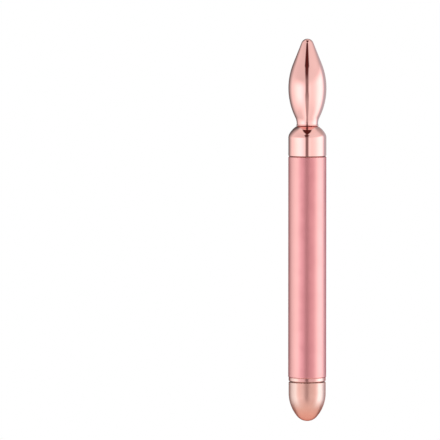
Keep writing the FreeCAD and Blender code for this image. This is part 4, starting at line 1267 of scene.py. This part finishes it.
@dataclass
class TailEnd:
    """Bright ring at the tube's foot and the screwed bullet cap with its insert and seal."""

    lathe: Lathe
    ring_radius: float = 8.05
    ring: Pair = (-49.5, -48.0)
    ring_edge: float = 0.15
    sleeve_radius: float = 7.8
    sleeve_top: float = -39.4
    thread_crest: float = 7.3
    thread_run: Pair = (0.2, 0.6)
    thread_rows: int = 80
    counterbore: float = 7.6
    seal_seat: float = -48.75
    mouth: float = -50.0
    nose_start: float = -54.8
    nose_height: float = 12.3
    nose: float = 5.6
    wall: float = 1.25
    cap_edge: float = 0.2
    plug_radius: float = 6.78
    plug_wall: float = 1.1
    plug_bottom: float = -54.6
    floor_bottom: float = -53.2
    floor_top: float = -52.2
    groove_top: float = -48.8
    spigot_radius: float = 7.22
    spigot_top: float = -44.0
    spigot_bore: float = 6.22
    spigot_run: float = 0.1
    spigot_rows: int = 44
    lead_in: float = 0.4
    seal_radius: float = 7.2
    seal_section: float = 0.38
    seal_gap: float = 0.02
    thread_depth: float = 0.26

    def build(self) -> None:
        """Make ring, cap, insert and seal."""
        turn, depth = self.lathe.turn, self.thread_depth
        label = Label("bright_ring", RING_PLATING, "handle", "ring_plating", "tail_ring")
        turn(label, self.ring_section(), edge=0.04, segments=256, depth=depth)
        label = Label("bullet_cap", CHAMPAGNE_PLATING, "cap", "champagne_plating", "end_cap")
        turn(label, self.cap_section(), edge=0.06, segments=256)
        label = Label("threaded_insert", DARK_BRASS, "cap", "turned_brass", "cap_insert")
        turn(label, self.insert_section(), edge=0.08, depth=depth)
        middle = self.groove_top - self.seal_section - self.seal_gap
        inner, outer = self.seal_radius - self.seal_section, self.seal_radius + self.seal_section
        seal = Profile((inner, middle))
        for radius in (outer, inner):
            seal.arc(radius, middle, self.seal_section + HAIR, steps=16)
        label = Label("seal_ring", SOFT_RUBBER, frame_body("cap_seal"), "dark_rubber", "cap_seal")
        turn(label, seal, edge=0.01)

    def ring_section(self) -> Profile:
        """Bright rim, sleeve and inner thread, with the seat of the seal.

        Returns:
            The closed section.
        """
        bottom, top = self.ring
        rim, edge, crest = self.ring_radius, self.ring_edge, self.thread_crest
        section = Profile((self.counterbore, bottom), (rim - edge, bottom))
        section.arc(rim, bottom + edge, edge, steps=6).to((rim, top - edge))
        section.arc(rim - edge, top, edge, steps=6)
        section.to((self.sleeve_radius, top), (self.sleeve_radius, self.sleeve_top), (crest, self.sleeve_top))
        section.to((crest, self.sleeve_top - self.thread_run[1]))
        section.stretch(crest, self.seal_seat + self.thread_run[0], self.thread_rows, Cut.OUTWARDS)
        section.to((crest, self.seal_seat), (self.counterbore, self.seal_seat))
        return section.to((self.counterbore, bottom))

    def cap_section(self) -> Profile:
        """Bullet shell of even wall: side, shoulder, nose and the same inside.

        Returns:
            The closed section.
        """
        rim, edge, inner = self.ring_radius, self.cap_edge, self.ring_radius - self.wall
        section = Profile((inner, self.mouth), (rim - edge, self.mouth), (rim, self.mouth - edge))
        section.rows += self.bullet(0.0).rows
        section.rows += reversed(self.bullet(self.wall).rows)
        return section.to((inner, self.mouth))

    def bullet(self, inset: float) -> Profile:
        """Shoulder and nose from the cap's side to its tip.

        Args:
            inset: How far inside the outer face it runs.

        Returns:
            An open line.
        """
        drop = self.nose_height - self.nose
        rim, nose = self.ring_radius, self.nose
        shoulder = (rim**2 + drop**2 - nose**2) / (2 * (rim - nose))
        reach = shoulder - nose
        small = nose - inset
        middle = self.nose_start - drop
        line = Profile((rim - inset, self.nose_start))
        radius, height = small * (shoulder - rim) / reach, middle - small * drop / reach
        line.arc(radius, height, shoulder - inset, steps=40, turn=Turn.RIGHT)
        return line.arc(0.0, middle - small, small, steps=40, turn=Turn.RIGHT)

    def insert_section(self) -> Profile:
        """Plug, groove, threaded spigot and the floor between.

        Returns:
            The open section from the floor's lower face to its upper one.
        """
        inner, spigot = self.plug_radius - self.plug_wall, self.spigot_radius
        chamfer = self.spigot_top - self.lead_in
        section = Profile(
            (0.0, self.floor_bottom),
            (inner, self.floor_bottom),
            (inner, self.plug_bottom),
            (self.plug_radius, self.plug_bottom),
            (self.plug_radius, self.groove_top),
            (spigot, self.groove_top),
            (spigot, self.groove_top + self.spigot_run),
        )
        section.stretch(spigot, chamfer - self.spigot_run, self.spigot_rows, Cut.INWARDS)
        return section.to(
            (spigot, chamfer),
            (spigot - self.lead_in, self.spigot_top),
            (self.spigot_bore, self.spigot_top),
            (self.spigot_bore, self.floor_top),
            (0.0, self.floor_top),
        )


@dataclass
class PowerCell:
    """The cell, the spring under it and the spring's plate."""

    lathe: Lathe
    radius: float = 7.1
    bottom: float = -41.55
    shoulder: float = 7.95
    top: float = 8.95
    edge: float = 0.45
    nub: float = 2.75
    nub_foot: float = 0.3
    crimp: float = 0.12
    crimp_height: float = 1.4
    lip: Pair = (0.9, 1.1)
    lip_height: float = 0.15
    jacket_lap: float = 0.8
    plate_radius: float = 6.02
    plate: Pair = (-52.2, -51.8)

    def build(self) -> None:
        """Make the cell and the plate and dress the spring."""
        jacket = CellJacket("cell_jacket_finish", self.bottom, self.shoulder, self.radius - self.jacket_lap)
        label = Label("round_cell", jacket, "cell", "cell_jacket", "battery")
        self.lathe.turn(label, self.section(), edge=0.12)
        body = frame_body("spring_plate")
        label = Label("contact_plate", NICKEL_STEEL, body, "nickel_steel", "spring_plate")
        self.lathe.turn(label, plain_disc(self.plate_radius, *self.plate), edge=0.08, segments=96)
        dress(NICKEL_STEEL, "battery_spring")

    def section(self) -> Profile:
        """Crimped foot, side, lipped shoulder and nub of the cell.

        Returns:
            The open section from the foot to the nub's top.
        """
        neck = self.radius - self.crimp
        crimp, recess = self.bottom + self.crimp_height, self.shoulder - self.lip_height
        section = Profile((0.0, self.bottom), (neck - self.edge, self.bottom))
        section.arc(neck, self.bottom + self.edge, self.edge, steps=8)
        section.to((neck, crimp), (self.radius, crimp + self.crimp), (self.radius, self.shoulder - self.edge))
        section.arc(self.radius - self.edge, self.shoulder, self.edge, steps=8)
        return section.to(
            (self.radius - self.lip[0], self.shoulder),
            (self.radius - self.lip[1], recess),
            (self.nub + self.nub_foot, recess),
            (self.nub, self.shoulder),
            (self.nub, self.top),
            (0.0, self.top),
        )


@dataclass
class Electronics:
    """Two carrier halves with the circuit board, its parts and its contacts."""

    lathe: Lathe
    blocks: BlockRow
    solder_face: float = 0.42
    chip_half: float = 2.5
    chip_middle: float = 18.5
    pin: Triple = (0.7, 0.2, 0.4)
    pin_reach: float = 0.25
    pin_lift: float = 0.12
    pin_pitch: float = 1.27
    pin_rows: int = 4
    resistors: tuple[Pair, ...] = ((3.6, 13.4), (3.7, 24.2), (2.4, 27.8))
    resistor: Triple = (1.1, 0.42, 0.8)
    resistor_end: Triple = (0.3, 0.46, 0.84)
    resistor_lift: float = 0.23
    end_reach: float = 0.66
    coil_middle: float = 14.6
    coil_radius: float = 2.6
    coil_waist: float = 2.0
    coil_height: float = 2.8
    coil_wire: float = 0.14
    flange: float = 0.5
    can_middle: float = 20.4
    can_radius: float = 2.0
    can_height: float = 4.1
    can_crimp: Pair = (0.5, 1.0)
    crimp_bend: float = 0.32
    can_edge: float = 0.4

    def build(self) -> None:
        """Dress the moulded and pressed parts and make the small ones on the board."""
        dress(MOULDED_GREY, "carrier_front", "carrier_back")
        dress(BoardLaminate("board_laminate_finish"), "circuit_board")
        dress(BLACK_MOULDING, "control_chip")
        dress(NICKEL_STEEL, "positive_contact", "earth_clip")
        self.add_chip_pins()
        self.add_chip_resistors()
        self.add_coil()
        self.add_can()

    def add_chip_pins(self) -> None:
        """Pins down each side of the chip."""
        reach, lift = self.chip_half + self.pin_reach, -self.solder_face - self.pin_lift
        rows = [row - (self.pin_rows - 1) / 2 for row in range(self.pin_rows)]
        heights = [self.chip_middle + self.pin_pitch * row for row in rows]
        places = [(side * reach, lift, height) for side in (-1, 1) for height in heights]
        self.blocks.lay(Label("chip_pins", NICKEL_STEEL, "handle", "nickel_steel"), places, self.pin)

    def add_chip_resistors(self) -> None:
        """Small chip resistors on the board's front, bright at both ends."""
        lift = -self.solder_face - self.resistor_lift
        spots = [(side * x, lift, z) for x, z in self.resistors for side in (-1, 1)]
        ends = [(x + side * self.end_reach, y, z) for x, y, z in spots for side in (-1, 1)]
        label = Label("resistor_bodies", BLACK_MOULDING, "handle", "black_moulding")
        self.blocks.lay(label, spots, self.resistor)
        label = Label("resistor_ends", NICKEL_STEEL, "handle", "nickel_steel")
        self.blocks.lay(label, ends, self.resistor_end)

    def on_back(self, middle: float) -> Matrix:
        """Turn a piece from the Z axis to stand on the board's back at a height."""
        return Matrix.Translation((0.0, 0.0, middle * MM)) @ Matrix.Rotation(math.radians(-90), 4, "X")

    def add_coil(self) -> None:
        """Ferrite drum and its winding."""
        radius, waist, wire = self.coil_radius, self.coil_waist, self.coil_wire
        foot, top = self.solder_face, self.solder_face + self.coil_height
        low, high = foot + self.flange, top - self.flange
        drum = Profile((0.0, foot), (radius, foot), (radius, low), (waist, low))
        drum.to((waist, high), (radius, high), (radius, top), (0.0, top))
        place = self.on_back(self.coil_middle)
        label = Label("coil_drum", PRESSED_FERRITE, "handle", "ferrite", "boost_coil")
        self.lathe.turn(label, drum, edge=0.1, segments=96, place=place)
        CoilWinding().make(
            Label("coil_winding", ENAMELLED_COPPER, "handle", "ferrite"),
            bpy.data.meshes.new("start"),
            place @ Matrix.Translation((0.0, 0.0, (low + wire) * MM)),
            Turns=(high - low) / (2 * wire) - 1.0,
            Radius=(waist + wire) * MM,
            Length=(high - low - 2 * wire) * MM,
            Wire=wire * MM,
        )

    def add_can(self) -> None:
        """Capacitor can with the crimp above its foot."""
        foot, top, rim = self.solder_face, self.solder_face + self.can_height, self.can_radius
        low, high = (foot + height for height in self.can_crimp)
        section = Profile((0.0, foot), (rim, foot), (rim, low)).arc(rim, high, self.crimp_bend, steps=10)
        section.to((rim, top - self.can_edge)).arc(rim - self.can_edge, top, self.can_edge, steps=8)
        section.to((0.0, top))
        can = PrintedCan("capacitor_can_finish", self.can_middle, foot, self.can_height, rim)
        label = Label("capacitor_can_body", can, "handle", "capacitor_can", "capacitor")
        self.lathe.turn(label, section, edge=0.06, segments=96, place=self.on_back(self.can_middle))


@dataclass
class Motor:
    """Flatted motor with its armature, and the eccentric weight on its shaft."""

    lathe: Lathe
    shaft_radius: float = 0.75
    shaft: Pair = (33.45, 54.15)
    bush: Sizes = (0.79, 2.0, 46.9, 48.8)
    stack: Pair = (38.2, 46.2)
    wire: float = 0.09
    turns: int = 6
    first_turn: float = 2.5
    turn_step: float = 0.19
    turn_slack: float = 0.04

    def build(self) -> None:
        """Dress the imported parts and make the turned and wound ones."""
        dress(DRAWN_STEEL, "motor_can")
        dress(BLACK_MOULDING, "motor_end_bell")
        dress(MAGNET_FERRITE, "magnet_left", "magnet_right")
        dress(TURNED_BRASS, "terminal_positive", "terminal_negative", "eccentric_weight")
        dress(STACKED_STEEL, "armature")
        label = Label("shaft_bush", SINTERED_BRONZE, "handle", "turned_brass", "motor_bush")
        self.lathe.turn(label, plain_ring(*self.bush), edge=0.08, segments=96)
        label = Label("ground_shaft", NICKEL_STEEL, "rotor", "nickel_steel", "motor_shaft")
        self.lathe.turn(label, plain_disc(self.shaft_radius, *self.shaft), edge=0.12, segments=64)
        foot, top = self.stack
        PoleWinding().make(
            Label("armature_winding", ENAMELLED_COPPER, "rotor", "laminated_steel"),
            bpy.data.meshes.new("start"),
            Matrix.Translation((0.0, 0.0, (foot + top) / 2 * MM)),
            Turns=self.turns,
            Start=self.first_turn * MM,
            Step=self.turn_step * MM,
            Height=(top - foot + 2 * self.wire + self.turn_slack) * MM,
            Wire=self.wire * MM,
        )


# Studio. Its sizes are in metres, and angles are in degrees: above the level, and round the wand
# from 0 towards the camera, positive to its right.

Rows = tuple[tuple[float, ...], ...]

# Lights round the wand, each an angle with a level and how warm it is.
SIDE_LIGHTS: Rows = (
    (-180, 0.22), (-148, 0.22), (-138, 0.32), (-123, 0.75), (-110, 1.05), (-93, 1.2), (-77, 1.42, 0.02),
    (-60, 1.6), (-44, 1.6, -0.04), (-30, 1.42, -0.04), (-17, 1.2, -0.02), (17, 1.18), (26, 1.1),
    (40, 1.18), (52, 1.32), (66, 1.6), (84, 1.78, -0.02), (102, 1.65, -0.04), (112, 1.15, -0.06),
    (121, 0.72, -0.12), (132, 0.6, -0.12), (150, 0.6, -0.06), (180, 0.4),
)
HIGH_LIGHTS: Rows = (
    (-180, 0.12), (-150, 0.14), (-128, 0.52), (-105, 0.94), (-60, 0.88), (-30, 0.86), (26, 0.95),
    (60, 0.98), (80, 0.98), (100, 0.9), (120, 0.6), (165, 0.32), (180, 0.25),
)
LOW_LIGHTS: Rows = (
    (-180, 0.12), (-150, 0.15), (-125, 0.5), (-100, 0.85), (-60, 0.95), (-40, 1.15), (-17, 1.32),
    (17, 1.02), (50, 1.0), (64, 1.15), (82, 1.5), (100, 1.4), (116, 0.8), (130, 0.5), (155, 0.25),
    (180, 0.15),
)

# The reflector card from its middle outwards, and the dark gap's reach and depth by height.
CARD_COLOURS = (
    (0.0, (1.1, 0.84, 0.72)),
    (0.007, (1.15, 0.9, 0.78)),
    (0.012, (1.15, 1.02, 0.92)),
    (0.02, (1.15, 1.1, 1.05)),
)
GAP_REACH: Rows = (
    (-90, 12.0), (-14, 11.5), (-6, 9.0), (5, 9.0), (14, 9.5), (25, 11.5), (34, 14.0), (38, 19.0),
    (41.5, 19.0), (45, 12.0), (70, 14.0),
)
GAP_DEPTH: Rows = (
    (-60, 0.64), (-24, 0.64), (-6, 0.84), (4, 0.84), (12, 0.78), (24, 0.97), (42, 1.0), (50, 0.9),
    (72, 0.9),
)


@dataclass
class Surroundings:
    """Two tall soft lights with a dark gap between them, and a dark card overhead.

    A fade is a pair of values between which one light goes over to the next.
    """

    high_fade: Pair = (-1.0, 15.0)
    high_lean: float = 0.1
    ceiling_fade: Pair = (45.0, 62.0)
    ceiling: Colour = (0.98, 0.95, 0.93)
    low_fade: Pair = (12.0, 42.0)
    ground_fade: Pair = (56.0, 76.0)
    ground: Colour = (0.5, 0.41, 0.37)
    most_reach: float = 20.0
    gap_shift: float = 3.0
    gap_lean: float = 2.0
    gap_lean_fade: Pair = (5.0, 30.0)
    gap_edge: Pair = (-5.0, 5.0)
    gap_colour: Colour = (0.09, 0.02, 0.017)
    flag_shift: float = 0.02
    flag_half: float = 0.1
    flag_flare: float = 0.22
    flare_fade: Pair = (0.82, 0.96)
    side_edge: Pair = (-0.06, 0.06)
    flag_front: float = 0.14
    front_edge: Pair = (-0.1, 0.1)
    flag_foot: Pair = (0.76, 0.84)

    def __post_init__(self) -> None:
        """Start the world's sheet with the direction of each point of the surroundings."""
        world = bpy.data.worlds.new("surroundings")
        bpy.context.scene.world = world
        world.use_nodes = True
        world.node_tree.nodes.clear()
        sheet = NodeSheet(world.node_tree)
        x, y, z = sheet.axes(sheet.wire("ShaderNodeTexCoord", output="Generated"))
        self.sheet, self.direction = sheet, (x, y, z)
        self.around = sheet.math("ARCTAN2", x, 0 - y) * math.degrees(1.0)
        self.above = sheet.math("ARCSINE", z) * math.degrees(1.0)

    def build(self) -> None:
        """Lay all light in the world, which the camera itself sees as plain white."""
        sheet = self.sheet
        light = sheet.blend(sheet.math("MAXIMUM", self.gap(), self.flag()), self.light(), self.gap_colour)
        lights = sheet.wire("ShaderNodeBackground", {"Color": light, "Strength": 1.0})
        backdrop = sheet.wire("ShaderNodeBackground", {"Color": (*WHITE, 1.0), "Strength": 1.0})
        seen = sheet.wire("ShaderNodeLightPath", output="Is Camera Ray")
        sheet.node("ShaderNodeOutputWorld", {"Surface": sheet.mix(seen, lights, backdrop)})

    def ring(self, lights: Rows) -> Wire:
        """The colour of one ring of lights.

        Args:
            lights: The ring's lights.

        Returns:
            The colour at each angle round the wand.
        """
        stops = []
        for angle, level, *rest in lights:
            warmth = rest[0] if rest else 0.0
            stops.append((angle, (level * (1 + warmth), level, level * (1 - warmth))))
        return self.sheet.ramp(self.around, (-180.0, 180.0), stops)

    def light(self) -> Wire:
        """The light before anything darkens it: three rings, the ceiling and the ground.

        Returns:
            The colour.
        """
        blend, above, below = self.sheet.blend, self.above, 0 - self.above
        side, high, low = (self.ring(lights) for lights in (SIDE_LIGHTS, HIGH_LIGHTS, LOW_LIGHTS))
        rise = above - self.sheet.math("MAXIMUM", self.around, 0.0) * self.high_lean
        light = blend(rise.fade(*self.high_fade), side, high)
        light = blend(above.fade(*self.ceiling_fade), light, self.ceiling)
        light = blend(below.fade(*self.low_fade), light, low)
        return blend(below.fade(*self.ground_fade), light, self.ground)

    def gap(self) -> Wire:
        """How dark the gap between the lights is.

        Returns:
            The share of the gap's colour.
        """
        rows, above = (GAP_REACH, GAP_DEPTH), self.above
        reach, depth = (self.sheet.ramp(above, (-90.0, 90.0), row, self.most_reach) for row in rows)
        lean = above.fade(*self.gap_lean_fade) * self.gap_lean
        return (reach - abs(self.around + self.gap_shift + lean)).fade(*self.gap_edge) * depth

    def flag(self) -> Wire:
        """How dark the narrow card overhead is.

        Returns:
            The share of the gap's colour.
        """
        x, y, z = self.direction
        wide = z.fade(*self.flare_fade) * self.flag_flare + self.flag_half
        side = (wide - abs(x + self.flag_shift)).fade(*self.side_edge)
        return side * (self.flag_front - y).fade(*self.front_edge) * z.fade(*self.flag_foot)


@dataclass
class Studio:
    """Pale floor, reflector card under the cap and the camera."""

    distance: float = 2.5
    frame_width: float = 0.1909
    sensor: float = 36.0
    elevation: float = 3.3
    clip: Pair = (0.05, 20.0)
    subject: Triple = (0.0, 0.0, 0.016)
    aside: Pair = (0.03787, -0.00438)
    floor_height: float = -0.136
    floor_radius: float = 3.0
    floor_grey: float = 0.95
    floor_rough: float = 0.9
    floor_fade: Pair = (0.03, 0.2)
    floor_glow: float = 0.75
    card_height: float = -0.0711
    card_radius: float = 0.045
    card_ends: Pair = (0.0, 0.04)
    card_fade: Pair = (0.019, 0.039)
    back_fade: Pair = (-0.001, 0.006)
    back_share: float = 0.8
    back_colour: Colour = (0.12, 0.07, 0.05)

    def build(self) -> None:
        """Set up the light, the floor and the camera."""
        bpy.context.scene.view_settings.view_transform = "Standard"
        Surroundings().build()
        self.add_floor()
        self.add_card()
        self.add_camera()

    def add_camera(self) -> None:
        """Place the camera so that the wand stands where it does in the frame."""
        tilt = math.radians(self.elevation)
        back = Vector((0.0, -math.cos(tilt), math.sin(tilt)))
        up = Vector((0.0, math.sin(tilt), math.cos(tilt)))
        target = Vector(self.subject) - Vector((1.0, 0.0, 0.0)) * self.aside[0] - up * self.aside[1]
        data = bpy.data.cameras.new("camera")
        data.sensor_width = self.sensor
        data.lens = self.sensor * self.distance / self.frame_width
        data.clip_start, data.clip_end = self.clip
        camera = bpy.data.objects.new("camera", data)
        camera.location = target + back * self.distance
        camera.rotation_euler = (-back).to_track_quat("-Z", "Y").to_euler()
        bpy.context.scene.collection.objects.link(camera)
        bpy.context.scene.camera = camera

    def add_disc(self, name: str, radius: float, height: float) -> ShaderSheet:
        """Add a flat round sheet of the studio, level and centred under the wand.

        Args:
            name: The object's name.
            radius: Its radius.
            height: Its height.

        Returns:
            The sheet of its material.
        """
        mesh = bpy.data.meshes.new(name)
        shape = bmesh.new()
        bmesh.ops.create_circle(shape, cap_ends=True, segments=96, radius=radius)
        shape.to_mesh(mesh)
        shape.free()
        mesh.transform(Matrix.Translation((0.0, 0.0, height)))
        material = bpy.data.materials.new(f"{name}_surface")
        material.use_nodes = True
        mesh.materials.append(material)
        link_piece(name, mesh)
        return ShaderSheet(material.node_tree)

    def add_floor(self) -> None:
        """A round pale floor well below the hand-held wand, which shows from above only."""
        sheet = self.add_disc("floor", self.floor_radius, self.floor_height)
        sheet.feed("Base Color", (self.floor_grey, self.floor_grey, self.floor_grey, 1.0))
        sheet.feed("Roughness", self.floor_rough)
        sheet.feed("Specular IOR Level", 0.0)
        x, y, _ = sheet.axes(sheet.place())
        share = sheet.across(x, y).fade(*self.floor_fade) * (1 - self.floor_glow) + self.floor_glow
        near = sheet.mix(share, sheet.surface(), sheet.glow(WHITE))
        unseen = sheet.math("MAXIMUM", *sheet.glossy_and_behind())
        sheet.show(sheet.mix(unseen, near, sheet.clear()))

    def add_card(self) -> None:
        """A small warm reflector under the cap, which shows in reflections only."""
        sheet = self.add_disc("reflector_card", self.card_radius, self.card_height)
        x, y, _ = sheet.axes(sheet.place())
        out = sheet.across(x, y)
        pool = sheet.ramp(out, self.card_ends, CARD_COLOURS)
        pool = sheet.blend(y.fade(*self.back_fade) * self.back_share, pool, self.back_colour)
        glossy, behind = sheet.glossy_and_behind()
        seen = glossy * (1 - behind) * (1 - out.fade(*self.card_fade))
        sheet.show(sheet.mix(seen, sheet.clear(), sheet.glow(pool)))


def main() -> None:
    """Build every sub-assembly and the studio."""
    logging.basicConfig(level=logging.INFO, format="%(name)s %(message)s")
    lathe = Lathe()
    for assembly in (MassagingHead, Collar, Grip, TailEnd, PowerCell):
        assembly(lathe).build()
    Electronics(lathe, BlockRow()).build()
    Motor(lathe).build()
    Studio().build()
    bpy.context.view_layer.update()


if __name__ == "__main__":
    main()
